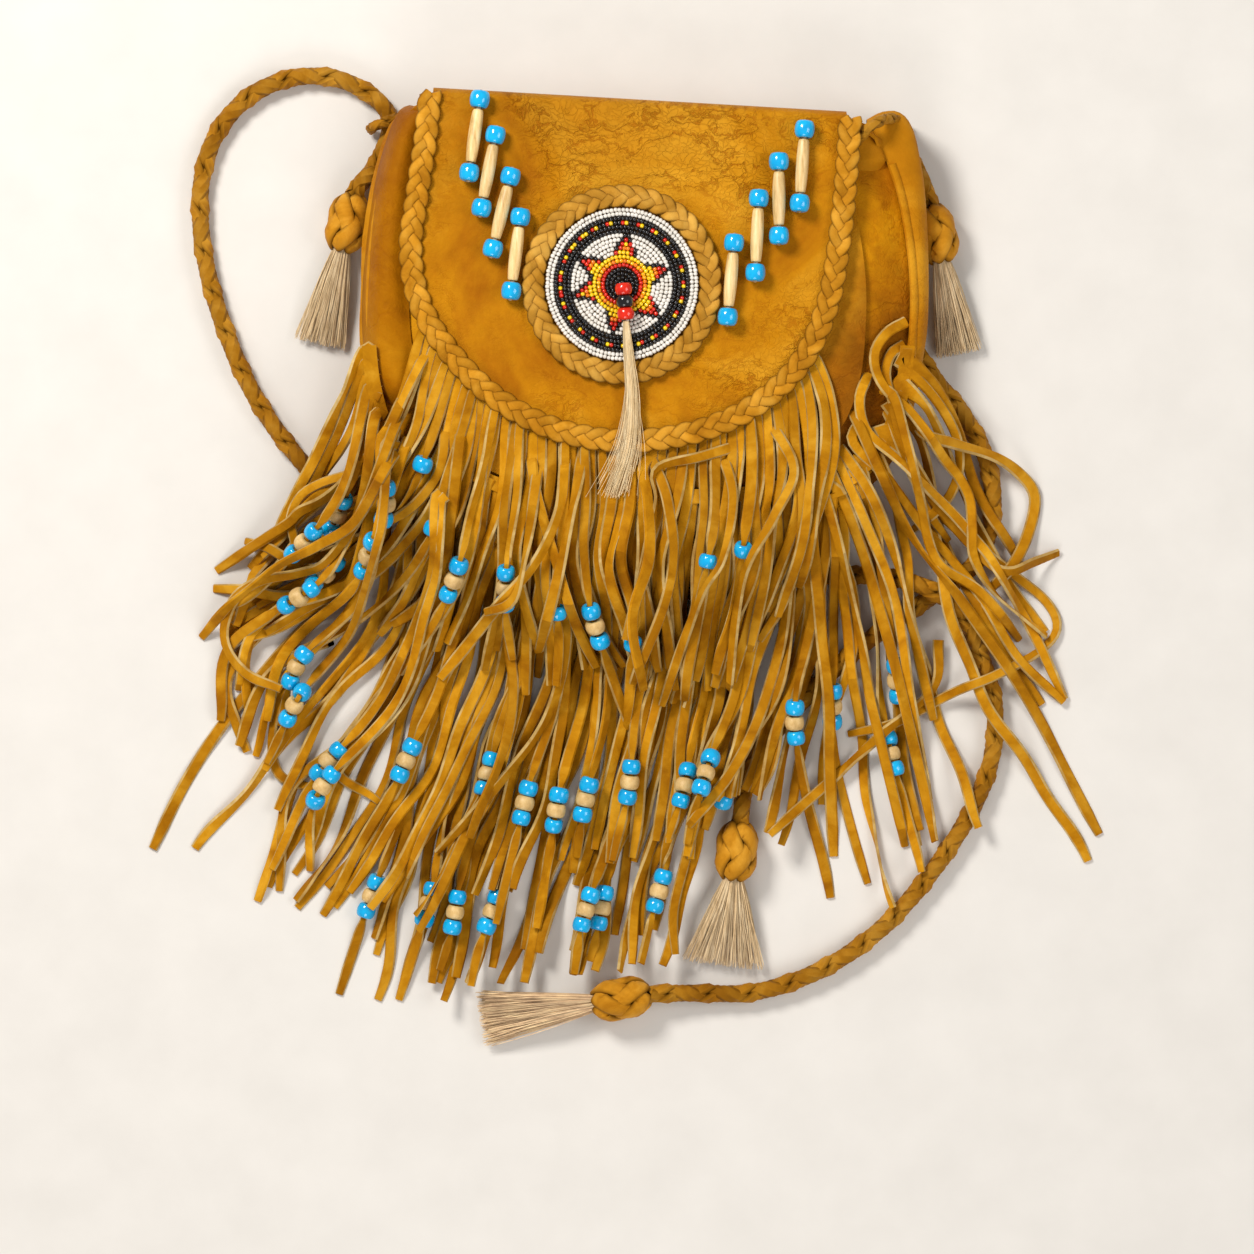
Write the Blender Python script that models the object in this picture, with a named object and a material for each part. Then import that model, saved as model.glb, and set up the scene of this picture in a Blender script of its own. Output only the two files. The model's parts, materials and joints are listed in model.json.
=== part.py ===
"""Leather shoulder pouch with beaded fringe, braided edges and a bead rosette, lying on its back.

Sizes are in millimetres and are scaled to metres when a mesh is made.
+Z is up, out of the pouch's front; +Y is towards the flap's fold; z = 0 is the table.
The origin is under the pouch, on the flat of its back.
"""
import math
import random

import bmesh
import bpy
import numpy as np
from mathutils import Vector

# Units and general sizes
MM = 0.001
GAP = 0.3
LEATHER = 1.6
FLAP_LEATHER = 1.8

# Pouch
POUCH_WIDTH = 267.0
POUCH_HEIGHT = 203.0
POUCH_CENTRE_Y = -4.5
FOLD_SLOPE = -0.058
RIM_HEIGHT = 31.0
SPINE_HEIGHT = 40.6
SEAM_HEIGHT = 40.2
CROWN_HEIGHT = 46.0
MOUTH_EDGE_Y = 68.0
GUSSET_HEM_Y = 75.0
PIPING_RADIUS = 2.2
OUTLINE_SAMPLES = 40

# Flap
FLAP_CENTRE_X = -6.7
FLAP_STANDOFF = 0.8
BRAID_WIDTH = 11.0
BRAID_THICKNESS = 3.4
BRAID_PITCH = 10.4

# Beadwork
ROSETTE_RADIUS = 36.0
ROSETTE_CENTRE = (-9.5, 10.5)
ROSETTE_THICKNESS = 2.0
BACKING_THICKNESS = 1.2
BEAD_ROW = 2.0
DROP_BEAD_RADIUS = 4.0
DROP_BEAD_LENGTH = 5.5
CROW_BEAD_RADIUS = 4.75
CROW_BEAD_LENGTH = 8.0
CROW_BEAD_HOLE = 1.6
PIPE_LENGTH = 25.0
PIPE_RADIUS = 3.15
PIPE_END_RADIUS = 2.4
THONG_RADIUS = 1.1

# Fringe
STRIP_WIDTH = 6.0
STRIP_THICKNESS = 1.6
HEADER_WIDTH = 5.0
BEND_LENGTH = 6.0
BEND_RISE = 6.0
CELL = 1.2
HANG_SLOPE = 0.8
HANG_REACH = 50.0
STRIP_CLEARANCE = 0.4

# Strap
CORD_DIAMETER = 10.0
KNOT_RADIUS = 10.3
KNOT_LENGTH = 27.0

# Photograph scale, for the routes of cords and fringe that are given by its pixels
PIXEL = 0.475
ORIGIN_PX = (642.0, 310.0)

# Half of the pouch's outline, bottom to top, as shares of half its width and half its height
OUTLINE_SHARES = [
    (0.00, -1.00), (0.28, -1.00), (0.55, -0.965), (0.76, -0.84), (0.90, -0.63), (0.975, -0.36),
    (1.00, -0.05), (1.00, 0.22), (0.975, 0.50), (0.935, 0.74), (0.875, 0.90), (0.77, 0.975),
    (0.50, 0.99), (0.22, 1.00),
]

# Section of the back panel, from the flat to the seam, as (share of the outline, height)
SIDE_SECTION = [(0.72, 0.0), (0.80, 5.0), (0.845, 11.0), (1.0, 21.0), (0.985, 27.0), (0.945, RIM_HEIGHT)]
SPINE_SECTION = [(0.84, 0.0), (0.92, 5.0), (0.955, 11.0), (0.98, 21.0), (0.985, 31.0), (0.98, SPINE_HEIGHT)]
GUSSET_SHARES = (0.945, 0.90, 0.84, 0.77)
FRONT_SHARE = 0.79

# Middle line of the flap's edge, from the top left round to the top right
FLAP_EDGE = [
    (-100, 99), (-102, 79), (-106, 52), (-109, 27), (-105, 3), (-93, -18), (-71, -41), (-42, -57),
    (-9, -63), (24, -59), (52, -47), (74, -27), (87, 0), (93, 32), (96, 60), (98, 87),
]

# Lock of hair on the rosette, as photo pixels
DROP_HAIR_PX = [(626, 324.8), (629, 362), (632, 400), (628, 450), (612, 500)]

# Bone pipes, as photo pixels of the upper and the lower bead
PIPE_BEADS_PX = [
    ((481, 105.4), (471, 176)), ((496.6, 141), (483.3, 211)), ((511.6, 181.7), (494.5, 252)),
    ((521.6, 220.7), (512.5, 295)), ((803, 133.5), (798, 208)), ((777.4, 166), (777.4, 240)),
    ((757.5, 202), (754, 277)), ((733, 246), (726.6, 321)),
]

# Cord routes, as (photo pixel x, photo pixel y, height in mm)
STRAP_LEFT_ROUTE = [
    (366, 172, 6.6), (379, 156, 5.3), (391, 140, 5.3), (394, 124, 5.3), (384, 108, 5.3),
    (370, 95, 5.3), (352, 82, 5.3), (331.5, 75, 5.3), (308.6, 73, 5.3), (283, 77, 5.3), (257, 88, 5.3),
    (237, 102, 5.3), (222, 119, 5.3), (211, 139, 5.3), (203, 160, 5.3), (199, 183, 5.3), (197.6, 208, 5.3),
    (203, 259, 5.3), (217, 310, 5.3), (236, 361, 5.3), (260, 407, 5.3), (293, 453, 5.3), (328, 490, 5.3),
    (372, 540, 5.3), (430, 575, 5.3), (500, 592, 5.3), (580, 596, 5.3), (660, 592, 5.3), (740, 584, 5.3),
    (810, 577, 5.3), (860, 575, 8.0), (900, 580, 14.5), (932, 589, 17.4), (956, 605, 15.5), (972, 632, 8.5),
    (985, 664, 5.3), (995, 697, 5.3), (997, 726, 5.3), (995, 751, 5.3), (988, 777, 5.3), (972, 815, 5.3),
    (954, 844, 5.3), (936, 870, 5.3), (916, 895, 5.3), (895, 918, 5.3), (872, 940, 5.3), (849, 956, 5.3),
    (824, 970, 5.3), (798, 982, 5.3), (770, 991, 5.3), (740, 996, 5.3), (716, 996, 5.8), (690, 994, 7.6),
]
STRAP_RIGHT_ROUTE = [
    (886, 119.5, 5.3), (886, 150, 5.3), (890, 185, 5.3), (895, 225, 5.3), (899, 265, 5.3), (903, 305, 5.3),
    (910, 332, 5.3), (921, 357, 5.3), (940, 382, 5.3), (964, 412, 5.3), (983, 443, 5.3), (992, 475, 5.3),
    (995, 505, 5.3), (990, 540, 5.3), (972, 568, 5.3), (940, 592, 5.3), (900, 618, 5.3), (858, 650, 5.3),
    (815, 690, 5.3), (778, 730, 5.3), (755, 762, 5.8), (744, 788, 7.6),
]
TAIL_RIGHT_ROUTE = [
    (911, 120.5, 5.3), (914, 146, 5.5), (921, 170, 7.2),
]

# Knots: photo pixel of the centre, photo pixel that its hair points to, hair's length and width in mm
KNOTS = {
    "left": ((347, 222), (340, 251), 46.0, 25.0),
    "right": ((937, 233), (943, 262), 45.0, 23.0),
    "bottom": ((737, 852), (733, 885), 42.0, 40.0),
    "end": ((621, 1000), (588, 1005), 55.0, 27.0),
}

# Keepers that hold the strap at the top corners, as positions in mm
KEEPER_RADIUS = 2.6
KEEPERS = {
    "left": [(-112.0, 93.5, 4.5), (-114.4, 92.6, 11.4), (-120.6, 90.3, 14.6), (-127.2, 88, 11.4),
             (-129.6, 87.0, 4.5)],
    "right": [(113, 93.4, 5.3), (122, 93.9, 5.3), (130, 93.2, 8.5), (131, 92.5, 18), (126, 91, 30),
              (118, 88.5, 40), (112, 84.5, 44.5), (108.2, 81.5, 43.5), (106.8, 79.5, 41.5)],
}

# Fringe guides, as photo pixels from the seam to the tip; strips between two guides are blends of them
FLAP_FRINGE_GUIDES = [
    [(402, 322), (372, 400), (338, 455), (285, 500), (232, 545)],
    [(420, 352), (392, 430), (352, 490), (290, 530), (225, 588)],
    [(438, 375), (418, 450), (390, 520), (325, 590), (215, 640)],
    [(462, 398), (448, 470), (430, 540), (400, 600), (360, 650)],
    [(490, 418), (484, 490), (478, 550), (480, 610), (495, 668)],
    [(525, 436), (524, 500), (518, 560), (515, 620), (508, 690)],
    [(560, 448), (560, 510), (558, 570), (572, 625), (600, 665)],
    [(597, 455), (596, 515), (588, 575), (600, 630), (598, 672)],
    [(635, 455), (628, 520), (620, 580), (626, 640), (636, 680)],
    [(670, 450), (668, 520), (660, 580), (650, 640), (650, 700)],
    [(705, 443), (706, 515), (700, 575), (690, 635), (668, 705)],
    [(740, 430), (748, 500), (745, 560), (730, 620), (712, 690)],
    [(772, 408), (785, 470), (790, 530), (780, 590), (752, 655)],
    [(798, 382), (818, 430), (822, 490), (812, 550), (790, 610)],
]
FRONT_FRINGE_GUIDES = [
    [(455, 455), (430, 540), (392, 640), (340, 760), (262, 885)],
    [(490, 485), (468, 580), (430, 690), (385, 800), (310, 925)],
    [(530, 500), (515, 600), (492, 700), (455, 800), (385, 930)],
    [(575, 508), (562, 610), (545, 700), (524, 790), (500, 890)],
    [(620, 511), (612, 610), (598, 700), (582, 790), (565, 880)],
    [(665, 511), (656, 610), (644, 700), (630, 790), (615, 885)],
    [(710, 506), (706, 600), (692, 700), (668, 790), (648, 878)],
    [(755, 494), (758, 590), (738, 690), (700, 780), (680, 862)],
    [(795, 470), (812, 560), (828, 650), (812, 740), (792, 830)],
]
BACK_FRINGE_GUIDES = [
    [(440, 510), (420, 630), (392, 760), (362, 870), (330, 965)],
    [(490, 525), (466, 650), (430, 790), (405, 895), (392, 960)],
    [(540, 532), (518, 660), (486, 800), (455, 900), (428, 990)],
    [(590, 534), (572, 660), (546, 800), (510, 900), (492, 992)],
    [(640, 534), (622, 660), (602, 800), (572, 890), (552, 975)],
    [(690, 534), (670, 660), (645, 800), (612, 890), (598, 972)],
    [(735, 530), (716, 650), (684, 780), (645, 880), (640, 955)],
]
LEFT_FRINGE_GUIDES = [
    [(392, 332), (350, 410), (300, 480), (292, 545), (350, 575)],
    [(392, 350), (362, 430), (318, 500), (262, 552), (236, 560)],
    [(394, 372), (378, 450), (340, 530), (250, 590), (238, 670)],
    [(396, 395), (388, 480), (362, 560), (310, 640), (278, 700)],
    [(400, 418), (392, 500), (355, 603), (252, 712), (152, 845)],
    [(410, 440), (400, 540), (345, 660), (290, 740), (330, 790)],
]
RIGHT_FRINGE_GUIDES = [
    [(898, 326), (930, 350), (968, 412), (1005, 490), (1014, 560)],
    [(897, 338), (930, 366), (966, 440), (1004, 520), (1052, 556)],
    [(896, 352), (928, 386), (960, 475), (1002, 570), (1050, 640)],
    [(894, 368), (924, 406), (955, 505), (1002, 620), (1064, 700)],
    [(890, 386), (917, 430), (945, 545), (1005, 690), (1098, 832)],
    [(884, 404), (903, 455), (917, 555), (925, 650), (940, 722)],
    [(876, 420), (888, 480), (898, 600), (917, 710), (944, 838)],
    [(864, 436), (868, 510), (872, 620), (882, 740), (910, 848)],
]

RED = (0.60, 0.012, 0.008)
BLACK = (0.012, 0.010, 0.010)
WHITE = (0.80, 0.76, 0.70)
YELLOW = (0.90, 0.62, 0.01)
BLUE = (0.010, 0.45, 0.80)
BONE = (0.76, 0.56, 0.29)
HORSEHAIR = (0.52, 0.40, 0.26)
TAN = (0.53, 0.26, 0.035)
DEEP_TAN = (0.37, 0.15, 0.012)
BRAID_TAN = (0.56, 0.30, 0.07)
FRINGE_TAN = (0.45, 0.20, 0.02)


def clear_scene():
    for old in list(bpy.data.objects):
        bpy.data.objects.remove(old, do_unlink=True)


def material(name, colour, roughness, metallic=0.0):
    made = bpy.data.materials.new(name)
    made.use_nodes = True
    shader = made.node_tree.nodes["Principled BSDF"]
    shader.inputs["Base Color"].default_value = (*colour, 1.0)
    shader.inputs["Roughness"].default_value = roughness
    shader.inputs["Metallic"].default_value = metallic
    return made


# Meshes

def finish(name, bm, colour, roughness=0.75, parent=None, smooth=True):
    """Make one named object of a bmesh in millimetres."""
    bmesh.ops.scale(bm, vec=(MM, MM, MM), verts=bm.verts)
    bmesh.ops.recalc_face_normals(bm, faces=bm.faces)
    mesh = bpy.data.meshes.new(name)
    bm.to_mesh(mesh)
    bm.free()
    if smooth:
        mesh.shade_smooth()
        mesh.set_sharp_from_angle(angle=math.radians(40))
    made = bpy.data.objects.new(name, mesh)
    made.data.materials.append(material(name, colour, roughness))
    bpy.context.scene.collection.objects.link(made)
    if parent is not None:
        made.parent = parent
        made.matrix_parent_inverse = parent.matrix_world.inverted()
    return made


def loft(bm, rings, closed=False, caps=True):
    """Join rings of points with quads; a closed loft joins its last ring to its first."""
    verts = [[bm.verts.new(point) for point in ring] for ring in rings]
    count = len(rings[0])
    pairs = list(zip(verts, verts[1:]))
    if closed:
        pairs.append((verts[-1], verts[0]))
    for near, far in pairs:
        for i in range(count):
            j = (i + 1) % count
            bm.faces.new((near[i], near[j], far[j], far[i]))
    if caps and not closed:
        bm.faces.new(list(reversed(verts[0])))
        bm.faces.new(verts[-1])
    return verts


def smooth_curve(points, count, closed=False):
    """Even points on a Catmull-Rom curve through the given points."""
    pts = np.array(points, dtype=float)
    if closed:
        ext = np.vstack([pts[-1], pts, pts[0], pts[1]])
    else:
        ext = np.vstack([2 * pts[0] - pts[1], pts, 2 * pts[-1] - pts[-2]])
    fine = []
    steps = np.linspace(0, 1, 24, endpoint=False)[:, None]
    for a, b, c, d in zip(ext, ext[1:], ext[2:], ext[3:]):
        fine.append(0.5 * (2 * b + (c - a) * steps + (2 * a - 5 * b + 4 * c - d) * steps ** 2
                           + (3 * b - a - 3 * c + d) * steps ** 3))
    fine = np.vstack(fine + [pts[:1] if closed else pts[-1:]])
    run = np.concatenate([[0], np.cumsum(np.linalg.norm(np.diff(fine, axis=0), axis=1))])
    where = np.linspace(0, run[-1], count, endpoint=not closed)
    return np.column_stack([np.interp(where, run, fine[:, k]) for k in range(pts.shape[1])])


def curve_length(points):
    return float(np.linalg.norm(np.diff(np.array(points), axis=0), axis=1).sum())


def from_photo(px, py):
    """Plan position, in millimetres, of a pixel of the photograph."""
    return (px - ORIGIN_PX[0]) * PIXEL, (ORIGIN_PX[1] - py) * PIXEL


# Pouch form

def pouch_outline(count=400):
    """Outermost line of the pouch, anticlockwise from the bottom."""
    half_width, half_height = POUCH_WIDTH / 2, POUCH_HEIGHT / 2
    right = list(OUTLINE_SHARES)
    left = [(-x, y) for x, y in reversed(right[1:])]
    points = []
    for share_x, share_y in right + left:
        x = share_x * half_width
        lean = FOLD_SLOPE * x * max(0.0, share_y) ** 2
        points.append((x, POUCH_CENTRE_Y + share_y * half_height + lean))
    return smooth_curve(points, count, closed=True)


OUTLINE = pouch_outline()
CENTRE = np.array([0.0, POUCH_CENTRE_Y])
OUTLINE_RUN = np.degrees(np.unwrap(np.arctan2(OUTLINE[:, 1] - CENTRE[1], OUTLINE[:, 0] - CENTRE[0])))
OUTLINE_REACH = np.linalg.norm(OUTLINE - CENTRE, axis=1)


def reach(angle):
    """Distance from the pouch's centre to its outline, for an angle in degrees."""
    return np.interp(angle, OUTLINE_RUN, OUTLINE_REACH, period=360)


def share_at(x, y):
    """Share of the outline on which a point lies: 0 at the centre, 1 on the outline."""
    dx, dy = np.asarray(x) - CENTRE[0], np.asarray(y) - CENTRE[1]
    return np.hypot(dx, dy) / reach(np.degrees(np.arctan2(dy, dx)))


def on_share(point, share):
    return CENTRE + (np.asarray(point)[:2] - CENTRE) * share


TOP_SHARES = [0.0, 0.3, 0.5, 0.7, 0.80, 0.815, 0.84, 0.90, 0.92, 0.985, 1.0]
TOP_HEIGHTS = [CROWN_HEIGHT, CROWN_HEIGHT - 0.4, CROWN_HEIGHT - 1.3, CROWN_HEIGHT - 2.8, SEAM_HEIGHT + 2.0,
               SEAM_HEIGHT + 1.6, SEAM_HEIGHT - 1.4, SEAM_HEIGHT - 4.2, RIM_HEIGHT + 6.2, RIM_HEIGHT + 5.8,
               21.0]


def pouch_top(x, y):
    """Height of the pouch's upper surface, without the flap; zero beside the pouch."""
    share = share_at(x, y)
    return np.where(share <= 1.0, np.interp(share, TOP_SHARES, TOP_HEIGHTS), 0.0)


def fold_y(x):
    """Plan line of the flap's hinge."""
    return POUCH_CENTRE_Y + POUCH_HEIGHT / 2 * 0.98 + FOLD_SLOPE * x


FLAP_SHARES = [0.0, 0.3, 0.5, 0.7, 0.80, 0.86, 0.92, 1.0]
FLAP_HEIGHTS = [CROWN_HEIGHT, CROWN_HEIGHT - 0.4, CROWN_HEIGHT - 1.3, CROWN_HEIGHT - 2.8, SEAM_HEIGHT + 2.2,
                SEAM_HEIGHT + 0.4, SEAM_HEIGHT - 2.5, SEAM_HEIGHT - 5.0]


def flap_under(x, y):
    """Height of the flap's underside: over the crowned front, bridging its seam, and up to the fold."""
    share = share_at(x, np.minimum(y, MOUTH_EDGE_Y - 8))
    rest = np.interp(share, FLAP_SHARES, FLAP_HEIGHTS) + FLAP_STANDOFF
    near = np.clip((y - MOUTH_EDGE_Y - 4) / (fold_y(x) - 4 - MOUTH_EDGE_Y), 0, 1)
    ease = near * near * (3 - 2 * near)
    return rest * (1 - ease) + (SPINE_HEIGHT + 1.0) * ease


def offset_section(section, thickness, scale):
    """Inner line of a section given as (share, height), a wall's thickness inside it."""
    line = np.array([(share * scale, height) for share, height in section])
    steps = np.diff(line, axis=0)
    normals = np.column_stack([-steps[:, 1], steps[:, 0]])
    normals /= np.linalg.norm(normals, axis=1)[:, None]
    inner = []
    for i, point in enumerate(line):
        around = normals[max(i - 1, 0):i + 1]
        mean = around.mean(axis=0)
        mean /= np.linalg.norm(mean) * max(0.5, float(np.dot(mean / np.linalg.norm(mean), around[0])))
        inner.append(point + mean * thickness)
    inner[0][1] = line[0][1] + thickness
    inner[-1][1] = line[-1][1]
    return [(x / scale, z) for x, z in inner]


def spine_weight(point):
    """One along the fold, zero down the sides."""
    height = (point[1] - FOLD_SLOPE * point[0] - POUCH_CENTRE_Y) / (POUCH_HEIGHT / 2)
    near = min(1.0, max(0.0, (height - 0.86) / 0.09))
    return near * near * (3 - 2 * near)


def even_outline(count):
    run = np.concatenate([[0], np.cumsum(np.linalg.norm(np.diff(OUTLINE, axis=0), axis=1))])
    where = np.linspace(0, run[-1], count, endpoint=False)
    return np.column_stack([np.interp(where, run, OUTLINE[:, k]) for k in range(2)])


def build_back_panel(parent):
    """Dished back: flat on the table, out and up to its seam, and up to the fold at the top."""
    points = even_outline(OUTLINE_SAMPLES)
    scale = POUCH_WIDTH / 2
    inner_side = offset_section(SIDE_SECTION, LEATHER, scale)
    inner_spine = offset_section(SPINE_SECTION, LEATHER, scale)
    section = list(zip(SIDE_SECTION, SPINE_SECTION)) + list(zip(reversed(inner_side), reversed(inner_spine)))
    rings = []
    for (side, spine) in section:
        ring = []
        for point in points:
            weight = spine_weight(point)
            share = side[0] * (1 - weight) + spine[0] * weight
            height = side[1] * (1 - weight) + spine[1] * weight
            ring.append((*on_share(point, share), height))
        rings.append(ring)
    bm = bmesh.new()
    loft(bm, rings)
    return finish("back_panel", bm, DEEP_TAN, 0.7, parent)


def build_gusset(parent):
    """U-shaped band from the back's seam up and in to the front's seam, open at the top."""
    points = [p for p in even_outline(OUTLINE_SAMPLES) if p[1] <= GUSSET_HEM_Y]
    start = max(range(len(points)), key=lambda i: np.linalg.norm(points[i] - points[i - 1]))
    points = points[start:] + points[:start]
    heights = (RIM_HEIGHT + GAP, SEAM_HEIGHT - 5.0, SEAM_HEIGHT - 2.0, SEAM_HEIGHT)
    rings = []
    for point in points:
        upper = [(*on_share(point, s), z + LEATHER * 0.2) for s, z in zip(GUSSET_SHARES, heights)]
        lower = [(*on_share(point, s - 0.006), z - LEATHER) for s, z in zip(GUSSET_SHARES, heights)]
        lower[0] = (*on_share(point, GUSSET_SHARES[0] - 0.013), heights[0])
        rings.append(upper + lower[::-1])
    bm = bmesh.new()
    loft(bm, rings)
    return finish("gusset", bm, DEEP_TAN, 0.72, parent)


def build_piping(parent):
    """Welt in the seam between the back and the gusset."""
    points = [p for p in even_outline(OUTLINE_SAMPLES) if p[1] <= GUSSET_HEM_Y]
    start = max(range(len(points)), key=lambda i: np.linalg.norm(points[i] - points[i - 1]))
    points = points[start:] + points[:start]
    rings = []
    for point in points:
        out = (point - CENTRE) / np.linalg.norm(point - CENTRE)
        middle = on_share(point, 0.945) + out * 2.0
        ring = []
        for k in range(6):
            turn = math.radians(60 * k)
            across = out * PIPING_RADIUS * math.cos(turn)
            ring.append((middle[0] + across[0], middle[1] + across[1],
                         RIM_HEIGHT + 2.2 + PIPING_RADIUS * math.sin(turn)))
        rings.append(ring)
    bm = bmesh.new()
    loft(bm, rings)
    return finish("gusset_piping", bm, BRAID_TAN, 0.7, parent)


def domed_plate(name, outline, centre, height_at, thickness, colour, parent, factors=(1.0, 0.86, 0.6, 0.28)):
    """Thin plate over a height function, ringed in towards its centre."""
    rings = []
    for factor in factors:
        ring = []
        for point in outline:
            x, y = np.asarray(centre) + (np.asarray(point) - centre) * factor
            ring.append((x, y, float(height_at(x, y)) + thickness))
        rings.append(ring)
    below = [[(x, y, z - thickness) for x, y, z in ring] for ring in reversed(rings)]
    bm = bmesh.new()
    top = loft(bm, rings, caps=False)
    bottom = loft(bm, below, caps=False)
    count = len(outline)
    for i in range(count):
        j = (i + 1) % count
        bm.faces.new((top[0][i], top[0][j], bottom[-1][j], bottom[-1][i]))
    bm.faces.new(top[-1])
    bm.faces.new(bottom[0])
    return finish(name, bm, colour, 0.7, parent)


def build_front_panel(parent):
    """Crowned front, sewn over the gusset, with its top edge free under the flap."""
    side = [on_share(p, FRONT_SHARE) for p in even_outline(48)]
    low = [p for p in side if p[1] < MOUTH_EDGE_Y - 3]
    start = max(range(len(low)), key=lambda i: np.linalg.norm(low[i] - low[i - 1]))
    low = low[start:] + low[:start]
    left, right = low[-1][0], low[0][0]
    edge = []
    for k in range(1, 8):
        across = k / 8
        edge.append((left + (right - left) * across, MOUTH_EDGE_Y - 3 * math.sin(math.pi * across)))
    outline = [tuple(p) for p in low] + edge
    return domed_plate("front_panel", outline, (0.0, -12.0),
                       lambda x, y: pouch_top(x, y) - LEATHER, LEATHER, TAN, parent, (1.0, 0.78, 0.42))


# Flap

def flap_edge_line(count):
    return smooth_curve(FLAP_EDGE, count)


def build_flap_panel(parent):
    """Flap leather, from just inside the hinge line to the middle of its braided edge."""
    edge = [tuple(p) for p in flap_edge_line(36)]
    first, last = edge[0], edge[-1]
    top = []
    for k in range(0, 9):
        x = last[0] + (first[0] - last[0]) * k / 8
        top.append((x, fold_y(x) - 1.6))
    outline = edge[1:-1] + top
    return domed_plate("flap_panel", outline, (FLAP_CENTRE_X, 26.0), flap_under, FLAP_LEATHER, TAN, parent)


def braid_rings(line, closed, base_at):
    """Sections of a flat three-strand braid: its strands swell on one side and then the other."""
    count = len(line)
    rings = []
    for i, point in enumerate(line):
        before = line[(i - 1) % count] if closed or i > 0 else point
        after = line[(i + 1) % count] if closed or i < count - 1 else point
        along = (after - before) / np.linalg.norm(after - before)
        side = np.array([-along[1], along[0]])
        swell = 1 if i % 2 else -1
        left = BRAID_WIDTH / 2 * (1.0 if swell > 0 else 0.84)
        right = BRAID_WIDTH / 2 * (1.0 if swell < 0 else 0.84)
        marks = ((-right, 0.0), (left, 0.0), (left * 0.92, 0.62 if swell > 0 else 0.45),
                 (left * 0.36 * swell + 0.2, 1.0), (-right * 0.92, 0.62 if swell < 0 else 0.45))
        base = base_at(point[0], point[1])
        ring = []
        for across, height in marks:
            x, y = point + side * across
            ring.append((x, y, base + BRAID_THICKNESS * height))
        rings.append(ring)
    return rings


def flap_top(x, y):
    return float(flap_under(x, y)) + FLAP_LEATHER


def build_flap_braid(parent):
    length = curve_length(flap_edge_line(200))
    line = flap_edge_line(2 * int(length / BRAID_PITCH))

    def base_at(x, y):
        inward = np.array([FLAP_CENTRE_X, 26.0]) - (x, y)
        inward = inward / np.linalg.norm(inward) * BRAID_WIDTH / 2
        return max(flap_top(x, y), flap_top(x + inward[0], y + inward[1])) + GAP + 0.2

    bm = bmesh.new()
    loft(bm, braid_rings(line, False, base_at))
    return finish("flap_braid", bm, BRAID_TAN, 0.7, parent)


def circle(centre, radius, count, turn=0.0):
    return np.array([(centre[0] + radius * math.cos(turn + 2 * math.pi * k / count),
                      centre[1] + radius * math.sin(turn + 2 * math.pi * k / count)) for k in range(count)])


ROSETTE_BASE = flap_top(*ROSETTE_CENTRE) + GAP + 0.4
RING_RADIUS = ROSETTE_RADIUS + BRAID_WIDTH / 2 + GAP


def build_ring_braid(parent):
    count = 2 * round(2 * math.pi * RING_RADIUS / BRAID_PITCH)
    bm = bmesh.new()
    line = circle(ROSETTE_CENTRE, RING_RADIUS, count)
    loft(bm, braid_rings(line, True, lambda x, y: ROSETTE_BASE), closed=True)
    return finish("rosette_ring_braid", bm, BRAID_TAN, 0.7, parent)


def star_line(radius_in, radius_out, count=24):
    """Six-pointed star, as a ring of points with its tips on radius_out."""
    points = []
    for k in range(count):
        phase = (k % 4) / 4
        share = abs(1 - 2 * phase)
        radius = radius_in + (radius_out - radius_in) * share ** 1.4
        turn = math.radians(84) + 2 * math.pi * k / count
        points.append((ROSETTE_CENTRE[0] + radius * math.cos(turn),
                       ROSETTE_CENTRE[1] + radius * math.sin(turn)))
    return points


def flat_ring(name, outer, inner, base, thickness, colour, parent):
    """Flat plate between two lines of as many points; with no inner line it is whole."""
    bm = bmesh.new()
    if inner is None:
        loft(bm, [[(x, y, base) for x, y in outer], [(x, y, base + thickness) for x, y in outer]])
    else:
        loft(bm, [[(x, y, base) for x, y in outer], [(x, y, base + thickness) for x, y in outer],
                  [(x, y, base + thickness) for x, y in inner], [(x, y, base) for x, y in inner]],
             closed=True)
    return finish(name, bm, colour, 0.35, parent, smooth=False)


def build_rosette(parent):
    """Bead rows on their backing, one plate for each field of colour."""
    base = ROSETTE_BASE + BACKING_THICKNESS + GAP
    slit = GAP / 2
    flat_ring("rosette_backing", circle(ROSETTE_CENTRE, ROSETTE_RADIUS - 0.2, 32), None,
              ROSETTE_BASE, BACKING_THICKNESS, TAN, parent)
    rim = ROSETTE_RADIUS - 2 * BEAD_ROW
    band = ROSETTE_RADIUS - 6 * BEAD_ROW

    def plate(name, outer, inner, colour):
        flat_ring(name, outer, inner, base, ROSETTE_THICKNESS, colour, parent)

    plate("rosette_rim_white", circle(ROSETTE_CENTRE, ROSETTE_RADIUS - 0.4, 32),
          circle(ROSETTE_CENTRE, rim + slit, 32), WHITE)
    plate("rosette_band_black", circle(ROSETTE_CENTRE, rim - slit, 32),
          circle(ROSETTE_CENTRE, band + slit, 32), BLACK)
    plate("rosette_field_white", circle(ROSETTE_CENTRE, band - slit, 24, math.radians(84)),
          star_line(7 * BEAD_ROW, 11.2 * BEAD_ROW), WHITE)
    plate("rosette_star_red", star_line(7 * BEAD_ROW - 0.5, 11.2 * BEAD_ROW - 0.8),
          star_line(6 * BEAD_ROW, 8.6 * BEAD_ROW), RED)
    plate("rosette_star_yellow", star_line(6 * BEAD_ROW - 0.4, 8.6 * BEAD_ROW - 0.7),
          star_line(3.2 * BEAD_ROW, 3.2 * BEAD_ROW), YELLOW)
    plate("rosette_centre_black", circle(ROSETTE_CENTRE, 3.2 * BEAD_ROW - 0.4, 16), None, BLACK)


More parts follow.
